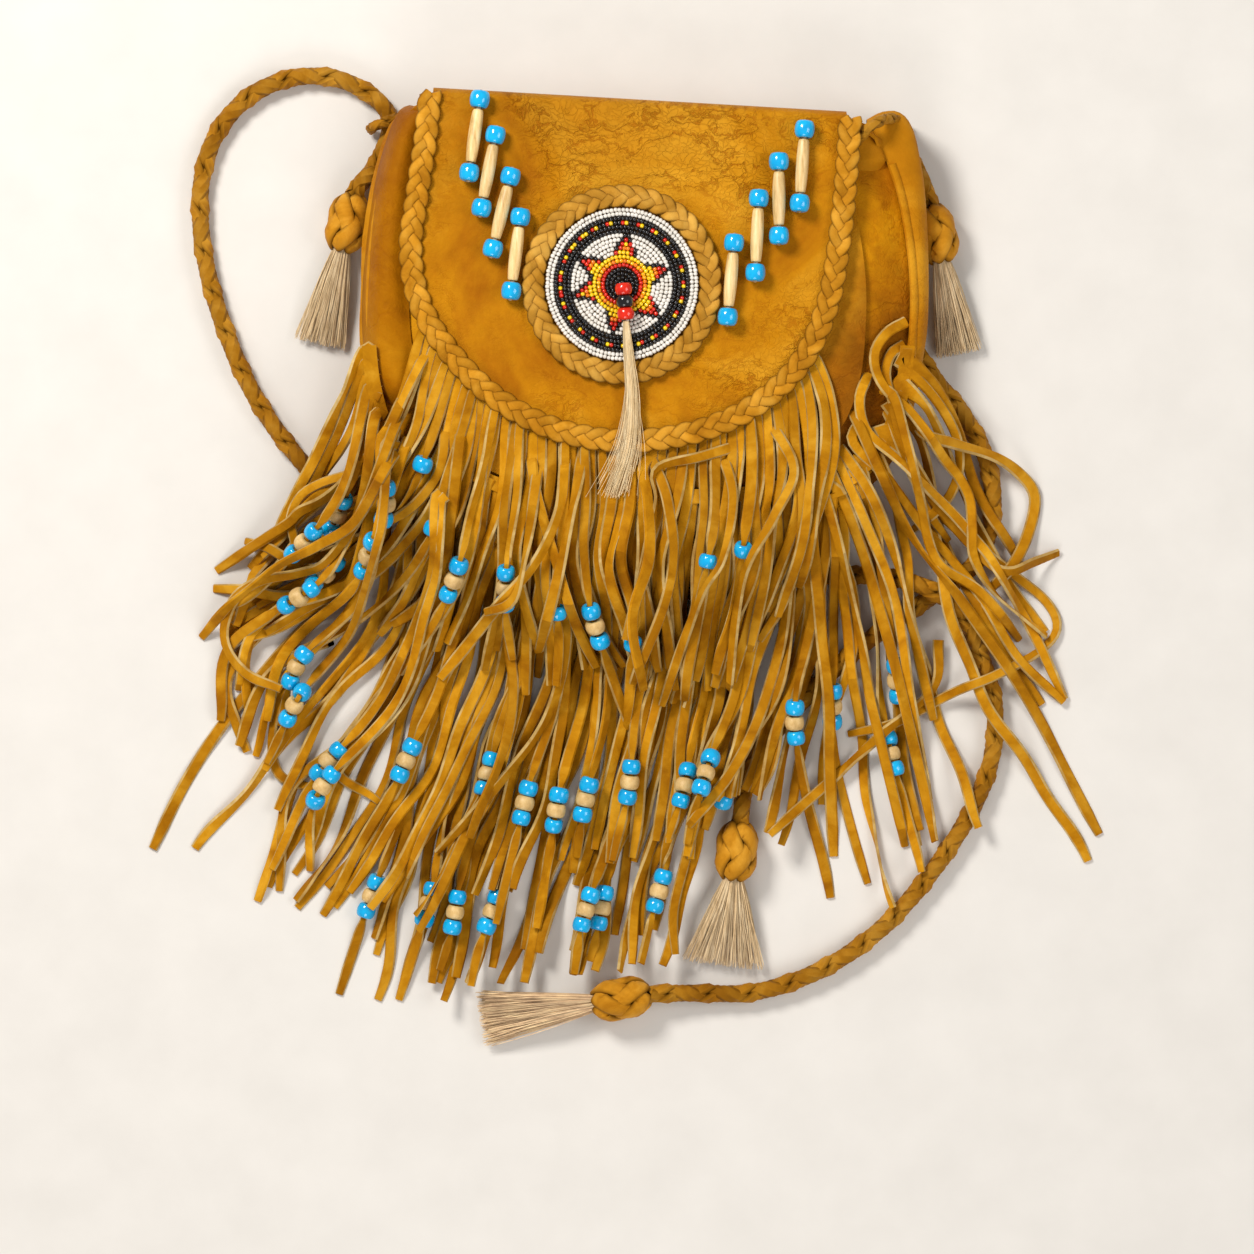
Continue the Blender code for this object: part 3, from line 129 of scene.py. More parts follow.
STRAP_LEFT_ROUTE = [
    (366, 172, 6.6), (379, 156), (391, 140), (394, 124), (384, 108),
    (370, 95), (352, 82), (331.5, 75), (308.6, 73), (283, 77), (257, 88),
    (237, 102), (222, 119), (211, 139), (203, 160), (199, 183), (197.6, 208),
    (203, 259), (217, 310), (236, 361), (260, 407), (293, 453), (328, 490),
    (372, 540), (430, 575), (500, 592), (580, 596), (660, 592), (740, 584),
    (810, 577), (860, 575, 8.0), (900, 580, 14.5), (932, 589, 17.4), (956, 605, 15.5), (972, 632, 8.5),
    (985, 664), (995, 697), (997, 726), (995, 751), (988, 777), (972, 815),
    (954, 844), (936, 870), (916, 895), (895, 918), (872, 940), (849, 956),
    (824, 970), (798, 982), (770, 991), (740, 996), (716, 996, 5.8), (690, 994, 7.6),
]
STRAP_RIGHT_ROUTE = [
    (886, 119.5), (886, 150), (890, 185), (895, 225), (899, 265), (903, 305),
    (910, 332), (921, 357), (940, 382), (964, 412), (983, 443), (992, 475),
    (995, 505), (990, 540), (972, 568), (940, 592), (900, 618), (858, 650),
    (815, 690), (778, 730), (755, 762, 5.8), (744, 788, 7.6),
]
TAIL_RIGHT_ROUTE = [
    (901, 124), (907, 146, 5.5), (917, 170, 7.2),
]
KNOTS = {
    "left": ((347, 222), (340, 251), 46.0, 25.0),
    "right": ((937, 233), (943, 262), 45.0, 23.0),
    "bottom": ((737, 852), (733, 885), 42.0, 40.0),
    "end": ((621, 1000), (588, 1005), 55.0, 27.0),
}
KEEPER_RADIUS = 2.6
KEEPERS = {
    "left": [(-112.0, 93.5, 4.5), (-114.4, 92.6, 11.4), (-120.6, 90.3, 14.6), (-127.2, 88, 11.4),
             (-129.6, 87.0, 4.5)],
    "right": [(113, 91, 5.3), (118, 90.6, 5.3), (122, 90, 8.5), (122.5, 89.5, 18), (120.5, 90, 28),
              (115.5, 89.5, 37), (110.5, 87, 43.5), (106.5, 84.5, 43.5), (104.5, 82, 41.5),
              (101.5, 78.5, 40)],
}
FLAP_FRINGE_GUIDES = [
    [(402, 322), (372, 400), (338, 455), (285, 500), (232, 545)],
    [(420, 352), (392, 430), (352, 490), (290, 530), (225, 588)],
    [(438, 375), (418, 450), (390, 520), (325, 590), (215, 640)],
    [(462, 398), (448, 470), (430, 540), (400, 600), (360, 650)],
    [(490, 418), (484, 490), (478, 550), (480, 610), (495, 668)],
    [(525, 436), (524, 500), (518, 560), (515, 620), (508, 690)],
    [(560, 448), (560, 510), (558, 570), (572, 625), (600, 665)],
    [(597, 455), (596, 515), (588, 575), (600, 630), (598, 672)],
    [(635, 455), (628, 520), (620, 580), (626, 640), (636, 680)],
    [(670, 450), (668, 520), (660, 580), (650, 640), (650, 700)],
    [(705, 443), (706, 515), (700, 575), (690, 635), (668, 705)],
    [(740, 430), (748, 500), (745, 560), (730, 620), (712, 690)],
    [(772, 408), (785, 470), (790, 530), (780, 590), (752, 655)],
    [(798, 382), (818, 430), (822, 490), (812, 550), (790, 610)],
]
FRONT_FRINGE_GUIDES = [
    [(455, 455), (430, 540), (392, 640), (340, 760), (262, 885)],
    [(490, 485), (468, 580), (430, 690), (385, 800), (310, 925)],
    [(530, 500), (515, 600), (492, 700), (455, 800), (385, 930)],
    [(575, 508), (562, 610), (545, 700), (524, 790), (500, 890)],
    [(620, 511), (612, 610), (598, 700), (582, 790), (565, 880)],
    [(665, 511), (656, 610), (644, 700), (630, 790), (615, 885)],
    [(710, 506), (706, 600), (692, 700), (668, 790), (648, 878)],
    [(755, 494), (758, 590), (738, 690), (700, 780), (680, 862)],
    [(795, 470), (812, 560), (828, 650), (812, 740), (792, 830)],
]
BACK_FRINGE_GUIDES = [
    [(440, 510), (420, 630), (392, 760), (362, 870), (330, 965)],
    [(490, 525), (466, 650), (430, 790), (405, 895), (392, 960)],
    [(540, 532), (518, 660), (486, 800), (455, 900), (428, 990)],
    [(590, 534), (572, 660), (546, 800), (510, 900), (492, 992)],
    [(640, 534), (622, 660), (602, 800), (572, 890), (552, 975)],
    [(690, 534), (670, 660), (645, 800), (612, 890), (598, 972)],
    [(735, 530), (716, 650), (684, 780), (645, 880), (640, 955)],
]
LEFT_FRINGE_GUIDES = [
    [(392, 332), (350, 410), (300, 480), (292, 545), (350, 575)],
    [(392, 350), (362, 430), (318, 500), (262, 552), (236, 560)],
    [(394, 372), (378, 450), (340, 530), (250, 590), (238, 670)],
    [(396, 395), (388, 480), (362, 560), (310, 640), (278, 700)],
    [(400, 418), (392, 500), (355, 603), (252, 712), (152, 845)],
    [(410, 440), (400, 540), (345, 660), (290, 740), (330, 790)],
]
RIGHT_FRINGE_GUIDES = [
    [(898, 326), (930, 350), (968, 412), (1005, 490), (1014, 560)],
    [(897, 338), (930, 366), (966, 440), (1004, 520), (1052, 556)],
    [(896, 352), (928, 386), (960, 475), (1002, 570), (1050, 640)],
    [(894, 368), (924, 406), (955, 505), (1002, 620), (1064, 700)],
    [(890, 386), (917, 430), (945, 545), (1005, 690), (1098, 832)],
    [(884, 404), (903, 455), (917, 555), (925, 650), (940, 722)],
    [(876, 420), (888, 480), (898, 600), (917, 710), (944, 838)],
    [(864, 436), (868, 510), (872, 620), (882, 740), (910, 848)],
]
HANG_SLOPE = 0.8
HANG_REACH = 50.0
ON_TABLE = CORD_DIAMETER / 2 + GAP


def run_of(points):
    """Length along a line up to each of its points."""
    return np.concatenate([[0], np.cumsum(np.linalg.norm(np.diff(points, axis=0), axis=1))])


def spaced(points, count, endpoint=True):
    """The same line as a number of evenly spaced points."""
    run = run_of(points)
    where = np.linspace(0, run[-1], count, endpoint=endpoint)
    return np.column_stack([np.interp(where, run, points[:, k]) for k in range(points.shape[1])])


def smooth_curve(points, count, closed=False):
    """Even points on a Catmull-Rom curve through the given points."""
    pts = np.array(points, dtype=float)
    if closed:
        ext = np.vstack([pts[-1], pts, pts[0], pts[1]])
    else:
        ext = np.vstack([2 * pts[0] - pts[1], pts, 2 * pts[-1] - pts[-2]])
    fine = []
    steps = np.linspace(0, 1, 24, endpoint=False)[:, None]
    for a, b, c, d in zip(ext, ext[1:], ext[2:], ext[3:]):
        fine.append(0.5 * (2 * b + (c - a) * steps + (2 * a - 5 * b + 4 * c - d) * steps ** 2
                           + (3 * b - a - 3 * c + d) * steps ** 3))
    return spaced(np.vstack(fine + [pts[:1] if closed else pts[-1:]]), count, not closed)


def curve_length(points):
    return float(np.linalg.norm(np.diff(np.array(points), axis=0), axis=1).sum())


def from_photo(px, py):
    """Plan position, in millimetres, of a pixel of the photograph."""
    return (px - ORIGIN_PX[0]) * PIXEL, (ORIGIN_PX[1] - py) * PIXEL


def pouch_outline(count=400):
    """Outermost line of the pouch, anticlockwise from the bottom."""
    half_width, half_height = POUCH_WIDTH / 2, POUCH_HEIGHT / 2
    right = list(OUTLINE_SHARES)
    left = [(-x, y) for x, y in reversed(right[1:])]
    points = []
    for share_x, share_y in right + left:
        x = share_x * half_width
        lean = FOLD_SLOPE * x * max(0.0, share_y) ** 2
        points.append((x, POUCH_CENTRE_Y + share_y * half_height + lean))
    return smooth_curve(points, count, closed=True)


OUTLINE = pouch_outline()
CENTRE = np.array([0.0, POUCH_CENTRE_Y])
OUTLINE_RUN = np.degrees(np.unwrap(np.arctan2(OUTLINE[:, 1] - CENTRE[1], OUTLINE[:, 0] - CENTRE[0])))
OUTLINE_REACH = np.linalg.norm(OUTLINE - CENTRE, axis=1)


def reach(angle):
    """Distance from the pouch's centre to its outline, for an angle in degrees."""
    return np.interp(angle, OUTLINE_RUN, OUTLINE_REACH, period=360)


def share_at(x, y):
    """Share of the outline on which a point lies: 0 at the centre, 1 on the outline."""
    dx, dy = np.asarray(x) - CENTRE[0], np.asarray(y) - CENTRE[1]
    return np.hypot(dx, dy) / reach(np.degrees(np.arctan2(dy, dx)))


def on_share(point, share):
    return CENTRE + (np.asarray(point)[:2] - CENTRE) * share


TOP_SHARES = [0.0, 0.3, 0.5, 0.7, 0.80, 0.815, 0.84, 0.90, 0.92, 0.985, 1.0]
TOP_HEIGHTS = [CROWN_HEIGHT, CROWN_HEIGHT - 0.4, CROWN_HEIGHT - 1.3, CROWN_HEIGHT - 2.8, SEAM_HEIGHT + 2.0,
               SEAM_HEIGHT + 1.6, SEAM_HEIGHT - 1.4, SEAM_HEIGHT - 4.2, RIM_HEIGHT + 6.2, RIM_HEIGHT + 5.8,
               21.0]


def pouch_top(x, y):
    """Height of the pouch's upper surface, without the flap; zero beside the pouch."""
    share = share_at(x, y)
    return np.where(share <= 1.0, np.interp(share, TOP_SHARES, TOP_HEIGHTS), 0.0)


def fold_y(x):
    """Plan line of the flap's hinge."""
    return POUCH_CENTRE_Y + POUCH_HEIGHT / 2 * 0.98 + FOLD_SLOPE * x


FLAP_SHARES = [0.0, 0.3, 0.5, 0.7, 0.80, 0.86, 0.92, 1.0]
FLAP_HEIGHTS = [CROWN_HEIGHT, CROWN_HEIGHT - 0.4, CROWN_HEIGHT - 1.3, CROWN_HEIGHT - 2.8, SEAM_HEIGHT + 2.2,
                SEAM_HEIGHT + 0.4, SEAM_HEIGHT - 2.5, SEAM_HEIGHT - 5.0]


def flap_under(x, y):
    """Height of the flap's underside: over the crowned front, bridging its seam, and up to the fold."""
    share = share_at(x, np.minimum(y, MOUTH_EDGE_Y - 8))
    rest = np.interp(share, FLAP_SHARES, FLAP_HEIGHTS) + FLAP_STANDOFF
    near = np.clip((y - MOUTH_EDGE_Y - 4) / (fold_y(x) - 4 - MOUTH_EDGE_Y), 0, 1)
    ease = near * near * (3 - 2 * near)
    return rest * (1 - ease) + (SPINE_HEIGHT + 1.0) * ease


def offset_section(section, thickness, scale):
    """Inner line of a section given as (share, height), a wall's thickness inside it."""
    line = np.array([(share * scale, height) for share, height in section])
    steps = np.diff(line, axis=0)
    normals = np.column_stack([-steps[:, 1], steps[:, 0]])
    normals /= np.linalg.norm(normals, axis=1)[:, None]
    inner = []
    for i, point in enumerate(line):
        around = normals[max(i - 1, 0):i + 1]
        mean = around.mean(axis=0)
        mean /= np.linalg.norm(mean) * max(0.5, float(np.dot(mean / np.linalg.norm(mean), around[0])))
        inner.append(point + mean * thickness)
    inner[0][1] = line[0][1] + thickness
    inner[-1][1] = line[-1][1]
    return [(x / scale, z) for x, z in inner]


def spine_weight(point):
    """One along the fold, zero down the sides."""
    height = (point[1] - FOLD_SLOPE * point[0] - POUCH_CENTRE_Y) / (POUCH_HEIGHT / 2)
    near = min(1.0, max(0.0, (height - 0.86) / 0.09))
    return near * near * (3 - 2 * near)


def even_outline(count):
    return spaced(OUTLINE, count, False)


def flap_edge_line(count):
    return smooth_curve(FLAP_EDGE, count)


def flap_top(x, y):
    """Height of the flap's upper face."""
    return float(flap_under(x, y)) + FLAP_LEATHER


def circle(centre, radius, count, turn=0.0):
    return np.array([(centre[0] + radius * math.cos(turn + 2 * math.pi * k / count),
                      centre[1] + radius * math.sin(turn + 2 * math.pi * k / count)) for k in range(count)])


ROSETTE_BASE = flap_top(*ROSETTE_CENTRE) + GAP + 0.4
RING_RADIUS = ROSETTE_RADIUS + BRAID_WIDTH / 2 + GAP


def knot_entry(centre, along):
    """Last two points of a cord that comes straight into a knot, the one at the knot last."""
    near = centre - along * (KNOT_LENGTH / 2 + GAP + 0.1)
    return [tuple(near - along * CORD_DIAMETER), tuple(near)]


def route_curve(route, start=(), end=(), spacing=2.4):
    """Smooth line of a cord, between the straight points at its ends."""
    points = list(reversed(start)) + [(*from_photo(px, py), *(rise or [ON_TABLE])) for px, py,
                                      *rise in route] + list(end)
    fine = smooth_curve(points, 400)
    line = smooth_curve(points, max(4, int(curve_length(fine) / (CORD_DIAMETER * spacing)) + 1))
    line[:, 2] = np.maximum(line[:, 2], CORD_DIAMETER / 2 + GAP)
    if len(start):
        line = np.vstack([line[:1], line[0] + (np.array(start[0]) - start[1]) * 0.3, line[1:]])
    if len(end):
        line = np.vstack([line[:-1], line[-1] + (np.array(end[0]) - end[1]) * 0.3, line[-1:]])
    return line


def blend_guides(guides, position):
    """Guide at a fractional position, as offsets from its first point, in millimetres."""
    low = min(int(position), len(guides) - 2)
    part = position - low
    mixed = np.array(guides[low]) * (1 - part) + np.array(guides[low + 1]) * part
    points = np.array([from_photo(*p) for p in mixed])
    return points - points[0]


def outline_stretch(share, start, end, count=24):
    """Points of the outline, scaled by a share, between two angles in degrees."""
    points = []
    for angle in np.linspace(start, end, count):
        turn = math.radians(angle)
        points.append(tuple(CENTRE + share * reach(angle) * np.array([math.cos(turn), math.sin(turn)])))
    return points


# Camera, light and floor

CAMERA_CENTRE = (-7.1, -150.6)
CAMERA_HEIGHT = 3000.0
FRAME_WIDTH = 595.7
FRAME_LEVEL = 20.0
SENSOR_WIDTH = 36.0
FLOOR_HALF = 8.0
# Name, place, target, size, power and colour of each light
LIGHTS = (
    ("key", (-0.75, 0.75, 1.25), (0, -0.12, 0), 0.5, 24.0, (1.0, 0.96, 0.9)),
    ("fill", (1.1, -0.1, 1.3), (0, -0.15, 0), 0.9, 8.0, (1.0, 0.97, 0.94)),
    ("low", (-0.2, -1.3, 1.0), (0, -0.15, 0), 0.8, 7.0, (1.0, 0.95, 0.9)),
)


def area_light(name, place, target, size, power, colour):
    data = bpy.data.lights.new(name, "AREA")
    data.shape = "DISK"
    data.size = size
    data.energy = power
    data.color = colour
    lamp = bpy.data.objects.new(name, data)
    bpy.context.scene.collection.objects.link(lamp)
    lamp.location = place
    lamp.rotation_euler = (Vector(target) - Vector(place)).to_track_quat("-Z", "Y").to_euler()


def studio():
    scene = bpy.context.scene
    scene.view_settings.view_transform = "Standard"
    data = bpy.data.cameras.new("camera")
    data.sensor_width = SENSOR_WIDTH
    data.lens = SENSOR_WIDTH * (CAMERA_HEIGHT - FRAME_LEVEL) / FRAME_WIDTH
    camera = bpy.data.objects.new("camera", data)
    camera.location = (CAMERA_CENTRE[0] * MM, CAMERA_CENTRE[1] * MM, CAMERA_HEIGHT * MM)
    scene.collection.objects.link(camera)
    scene.camera = camera
    world = bpy.data.worlds.new("studio")
    world.use_nodes = True
    world.node_tree.nodes["Background"].inputs[0].default_value = (1.0, 0.97, 0.93, 1)
    world.node_tree.nodes["Background"].inputs[1].default_value = 0.33
    scene.world = world
    for light in LIGHTS:
        area_light(*light)
    mesh = bpy.data.meshes.new("floor")
    corners = [(x * FLOOR_HALF, y * FLOOR_HALF, 0) for x, y in ((-1, -1), (1, -1), (1, 1), (-1, 1))]
    mesh.from_pydata(corners, [], [(0, 1, 2, 3)])
    floor = bpy.data.objects.new("floor", mesh)
    scene.collection.objects.link(floor)
    mesh.materials.append(plain_floor())


# Materials

def new_material(name):
    """Material with its tree, its shader, and the place of the shaded point in the model."""
    made = bpy.data.materials.new(name)
    made.use_nodes = True
    tree = made.node_tree
    place = node(tree, "ShaderNodeTexCoord").outputs["Object"]
    return made, tree, tree.nodes["Principled BSDF"], place


def node(tree, kind, inputs=None, **settings):
    made = tree.nodes.new(kind)
    for key, value in settings.items():
        setattr(made, key, value)
    for key, value in (inputs or {}).items():
        if isinstance(value, bpy.types.NodeSocket):
            tree.links.new(value, made.inputs[key])
        else:
            made.inputs[key].default_value = value
    return made


def ramp(tree, source, stops):
    made = node(tree, "ShaderNodeValToRGB", {"Fac": source})
    elements = made.color_ramp.elements
    while len(elements) < len(stops):
        elements.new(0.5)
    for element, (place, colour) in zip(elements, stops):
        element.position = place
        element.color = (*colour, 1)
    return made.outputs["Color"]


def grey(value):
    return (value, value, value)


def mixed(tree, kind, factor, a, b):
    """Mix of two colours; factor, a and b are values or sockets."""
    made = tree.nodes.new("ShaderNodeMix")
    made.data_type = "RGBA"
    made.blend_type = kind
    for index, value in ((0, factor), (6, a), (7, b)):
        if isinstance(value, bpy.types.NodeSocket):
            tree.links.new(value, made.inputs[index])
        elif index == 0:
            made.inputs[index].default_value = value
        else:
            made.inputs[index].default_value = (*value, 1)
    return made.outputs[2]


def noise(tree, place, scale, detail=4.0, rough=0.55, distortion=0.0):
    return node(tree, "ShaderNodeTexNoise", {"Vector": place, "Scale": scale, "Detail": detail,
                                             "Roughness": rough, "Distortion": distortion}).outputs["Fac"]


def maths(tree, operation, *values, kind="ShaderNodeMath", output=0):
    """Result of a maths node on values or sockets."""
    return node(tree, kind, dict(enumerate(values)), operation=operation).outputs[output]


def bump(tree, height, strength, distance, normal=None):
    inputs = {"Height": height, "Strength": strength, "Distance": distance}
    if normal is not None:
        inputs["Normal"] = normal
    return node(tree, "ShaderNodeBump", inputs).outputs["Normal"]


def toned(tree, colour, low, high):
    """A colour times a shade between two, by the tone of each point of the mesh."""
    tone = node(tree, "ShaderNodeAttribute", attribute_name="tone").outputs["Fac"]
    return mixed(tree, "MULTIPLY", 1.0, colour, ramp(tree, tone, [(0.0, low), (1.0, high)]))


def finished(made, shader, colour, roughness):
    made.node_tree.links.new(colour, shader.inputs["Base Color"])
    shader.inputs["Roughness"].default_value = roughness
    return made


def plain_floor():
    made, tree, shader, place = new_material("floor")
    tint = ramp(tree, noise(tree, place, 30.0), [(0.3, (0.70, 0.68, 0.65)), (0.7, (0.74, 0.72, 0.69))])
    return finished(made, shader, tint, 0.8)


def deepened(tree, place, colour, direction, start, end, amount):
    """A colour that turns dark brown between two positions along a direction, in metres; on the front and the
    gusset it is painted shade.
    """
    along = maths(tree, "DOT_PRODUCT", place, direction, kind="ShaderNodeVectorMath", output="Value")
    uneven = maths(tree, "ADD", noise(tree, place, 30.0, 4.0), -0.5)
    pushed = maths(tree, "MULTIPLY_ADD", uneven, 0.05, along)
    depth = node(tree, "ShaderNodeMapRange", {"Value": pushed, "From Min": start, "From Max": end},
                 interpolation_type="SMOOTHSTEP").outputs["Result"]
    brown = ramp(tree, noise(tree, place, 40.0, 4.0), [(0.35, DEEP_BROWN), (0.65, WARM_BROWN)])
    return mixed(tree, "MIX", maths(tree, "MULTIPLY", depth, amount), colour, brown)


def creased_with_painted_shade(tree, place, colour, normal, creases, scale):
    """A colour and a normal with fine creases and long ones, in patches; the colour is darkened along the
    creases as painted shade.
    """
    warp = node(tree, "ShaderNodeTexNoise", {"Vector": place, "Scale": 90.0, "Detail": 4.0})
    pushed = node(tree, "ShaderNodeVectorMath", {0: warp.outputs["Color"], "Scale": 0.014}, operation="SCALE")
    moved = maths(tree, "ADD", place, pushed.outputs["Vector"], kind="ShaderNodeVectorMath")
    stretched = maths(tree, "MULTIPLY", moved, (0.62, 1.0, 1.0), kind="ShaderNodeVectorMath")
    cells = node(tree, "ShaderNodeTexVoronoi", {"Vector": stretched, "Scale": scale},
                 feature="DISTANCE_TO_EDGE").outputs["Distance"]
    fine = node(tree, "ShaderNodeMapRange", {"Value": cells, "From Min": -0.16, "From Max": 0.14})
    drift = maths(tree, "ADD", noise(tree, stretched, scale * 0.16, 5.0, 0.62, 0.4), -0.5)
    apart = maths(tree, "ABSOLUTE", drift)
    long = node(tree, "ShaderNodeMapRange", {"Value": apart, "From Min": 0.0, "From Max": 0.028})
    lines = maths(tree, "MULTIPLY", fine.outputs["Result"], long.outputs["Result"])
    where = ramp(tree, noise(tree, place, 13.0, 3.0, 0.5, 0.8), [(0.36, grey(0.0)), (0.62, grey(1.0))])
    # painted shade: the colour is darkened along the crease lines
    shade = ramp(tree, lines, [(0.0, (0.62, 0.40, 0.22)), (0.5, (0.92, 0.86, 0.78)), (1.0, grey(1.0))])
    strength = maths(tree, "MULTIPLY", where, creases)
    colour = mixed(tree, "MULTIPLY", strength, colour, shade)
    return colour, bump(tree, lines, maths(tree, "MULTIPLY", strength, 0.9), 0.0008, normal)


def leather(name, dark, base, light, patches=16.0, creases=0.0, crease_scale=150.0, grain=0.3,
            roughness=0.62, tone_range=0.3, deepens=None):
    """Soft buckskin: mottled colour, a fine nap, and creases with painted shade along them."""
    made, tree, shader, place = new_material(name)
    colour = ramp(tree, noise(tree, place, patches, 6.0, 0.6, 0.6),
                  [(0.34, dark), (0.50, base), (0.66, light)])
    if deepens:
        colour = deepened(tree, place, colour, *deepens)
    fine = noise(tree, place, 160.0, 5.0, 0.65)
    colour = mixed(tree, "MULTIPLY", 0.5, colour, ramp(tree, fine, [(0.3, grey(0.80)), (0.65, grey(1.0))]))
    normal = bump(tree, noise(tree, place, 900.0, 3.0, 0.6), grain, 0.0002)
    normal = bump(tree, fine, grain, 0.0009, normal)
    if creases > 0:
        colour, normal = creased_with_painted_shade(tree, place, colour, normal, creases, crease_scale)
    low, high = 1.0 - tone_range, 1.0 + 0.35 * tone_range
    colour = toned(tree, colour, (low, low * 0.86, low * 0.66), grey(high))
    tree.links.new(normal, shader.inputs["Normal"])
    shader.inputs["Specular IOR Level"].default_value = 0.3
    shader.inputs["Specular Tint"].default_value = (1.0, 0.62, 0.12, 1)
    return finished(made, shader, colour, roughness)


def glass(name, colour, shade, roughness=0.16):
    """Pressed glass bead: nearly even colour with faint swirls, and a clear gloss."""
    made, tree, shader, place = new_material(name)
    tint = ramp(tree, noise(tree, place, 220.0, 2.0), [(0.35, shade), (0.6, colour)])
    shader.inputs["Coat Weight"].default_value = 0.4
    return finished(made, shader, toned(tree, tint, grey(0.72), grey(1.0)), roughness)


def streaked(name, dark, base, light, scales, roughness):
    """Bone, wood or hair: streaks that run along the direction of the model with the least scale."""
    made, tree, shader, place = new_material(name)
    drawn = maths(tree, "MULTIPLY", place, scales, kind="ShaderNodeVectorMath")
    colour = ramp(tree, noise(tree, drawn, 1.0, 5.0, 0.7), [(0.30, dark), (0.5, base), (0.68, light)])
    return finished(made, shader, toned(tree, colour, grey(0.55), grey(1.1)), roughness)


# Meshes

class Form:
    """Points and faces of one piece, in millimetres, gathered before its mesh is made."""

    def __init__(self):
        self.points, self.tones, self.faces, self.slots = [], [], [], []
        self.count = 0

    def grid(self, rows, slots=0, closed_rows=False, tone=0.5):
        """Skin over rows of points that each go round, with a material slot for each side."""
        rows = np.asarray(rows, dtype=float)
        n, m = rows.shape[:2]
        first = self.count
        self.points.append(rows.reshape(-1, 3))
        self.tones.append(np.broadcast_to(tone, (n, m)).reshape(-1))
        self.count += n * m
        sides = np.broadcast_to(slots, (m,))
        i = np.arange(n if closed_rows else n - 1)[:, None]
        j = np.arange(m)[None, :]
        after = (i + 1) % n
        beside = (j + 1) % m
        quads = np.stack([i * m + j, i * m + beside, after * m + beside, after * m + j], axis=-1) + first
        self.faces += quads.reshape(-1, 4).tolist()
        self.slots += np.broadcast_to(sides, quads.shape[:2]).reshape(-1).tolist()
        if not closed_rows:
            self.faces.append((np.arange(m)[::-1] + first).tolist())
            self.faces.append((np.arange(m) + first + (n - 1) * m).tolist())
            self.slots += [int(sides[0])] * 2

    def plate(self, rows, thickness, slots=0, rim_slot=None, tone=0.5, wrap=False):
        """Sheet with an upper and a lower skin; rows run across it, from edge to edge."""
        rows = np.asarray(rows, dtype=float)
        below = rows.copy()
        below[..., 2] -= thickness
        if wrap:
            middle = rows[-1].mean(axis=0)
            self.fan(rows, below, middle, thickness, slots, rim_slot, tone)
            return
        around = np.concatenate([rows, below[:, ::-1]], axis=1)
        m = rows.shape[1]
        sides = [slots] * (2 * m)
        sides[m - 1] = sides[2 * m - 1] = slots if rim_slot is None else rim_slot
        self.grid(around, sides, tone=tone)

    def fan(self, rows, below, middle, thickness, slot, rim_slot, tone):
        """Closed plate: rings from the rim to a middle point above, and the same below."""
        n, m = rows.shape[:2]
        first = self.count
        self.points.append(np.vstack([rows.reshape(-1, 3), below.reshape(-1, 3), middle,
                                      middle - (0, 0, thickness)]))
        self.tones.append(np.full(2 * n * m + 2, tone))
        self.count += 2 * n * m + 2
        top, low = first + 2 * n * m, first + 2 * n * m + 1
        rim = slot if rim_slot is None else rim_slot
        for j in range(m):
            k = (j + 1) % m
            for i in range(n - 1):
                a, b = first + i * m, first + (i + 1) * m
                self.faces.append((a + j, a + k, b + k, b + j))
                c, d = a + n * m, b + n * m
                self.faces.append((c + k, c + j, d + j, d + k))
                self.slots += [slot, slot]
            a, c = first, first + n * m
            self.faces.append((a + k, a + j, c + j, c + k))
            self.slots.append(rim)
            b, d = first + (n - 1) * m, first + (2 * n - 1) * m
            self.faces.append((b + j, b + k, top))
            self.faces.append((d + k, d + j, low))
            self.slots += [slot, slot]


def piece(form, name, materials, body, replaces=(), sharp=38.0):
    points = np.vstack(form.points) * MM
    mesh = bpy.data.meshes.new(name)
    mesh.from_pydata(points.tolist(), [], form.faces)
    for entry in materials:
        mesh.materials.append(entry)
    mesh.polygons.foreach_set("material_index", form.slots)
    mesh.polygons.foreach_set("use_smooth", [True] * len(form.faces))
    tone = mesh.attributes.new("tone", "FLOAT", "POINT")
    tone.data.foreach_set("value", np.concatenate(form.tones))
    mesh.set_sharp_from_angle(angle=math.radians(sharp))
    mesh.update()
    made = bpy.data.objects.new(name, mesh)
    bpy.context.scene.collection.objects.link(made)
    if body:
        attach(made, body)
    if replaces:
        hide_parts(*replaces)
    return made


UP = np.array([0, 0, 1.0])


def unit(vectors):
    vectors = np.asarray(vectors, dtype=float)
    return vectors / np.maximum(np.linalg.norm(vectors, axis=-1, keepdims=True), 1e-9)


def sideways(along):
    """Level direction square to another."""
    return unit(np.cross(along, UP))


def even(points, spacing, closed=False):
    """The same line with points at an even spacing."""
    points = np.asarray(points, dtype=float)
    if closed:
        points = np.vstack([points, points[:1]])
    count = max(2, int(round(run_of(points)[-1] / spacing)) + 1)
    return spaced(points, count, not closed)


def drawn_along(line, closed=False):
    """Direction of a line at each of its points."""
    if closed:
        return unit(np.roll(line, -1, axis=0) - np.roll(line, 1, axis=0))
    return unit(np.gradient(line, axis=0))


# Sections of a lace, as (share of its half width, share of its half thickness)
LACE = [(-1.0, -0.7), (-0.92, 0.2), (-0.62, 0.82), (0.0, 1.0), (0.62, 0.82), (0.92, 0.2), (1.0, -0.7),
        (0.0, -0.9)]
# Tones across a lace, darker at its edges: painted shade in the crevices between laces
LACE_SHADE_TONES = np.array([0.1, 0.4, 0.95, 1.0, 0.95, 0.4, 0.1, 0.9])


def lace(form, line, normal, half_width, half_thick, closed=False, tone=0.5):
    """One leather lace laid along a line, with its broad face along a normal."""
    along = drawn_along(line, closed)
    side = unit(np.cross(along, normal))
    over = np.cross(side, along)
    rows = [line + side * (a * half_width) + over * (b * half_thick) for a, b in LACE]
    form.grid(np.stack(rows, axis=1), closed_rows=closed, tone=tone * LACE_SHADE_TONES)


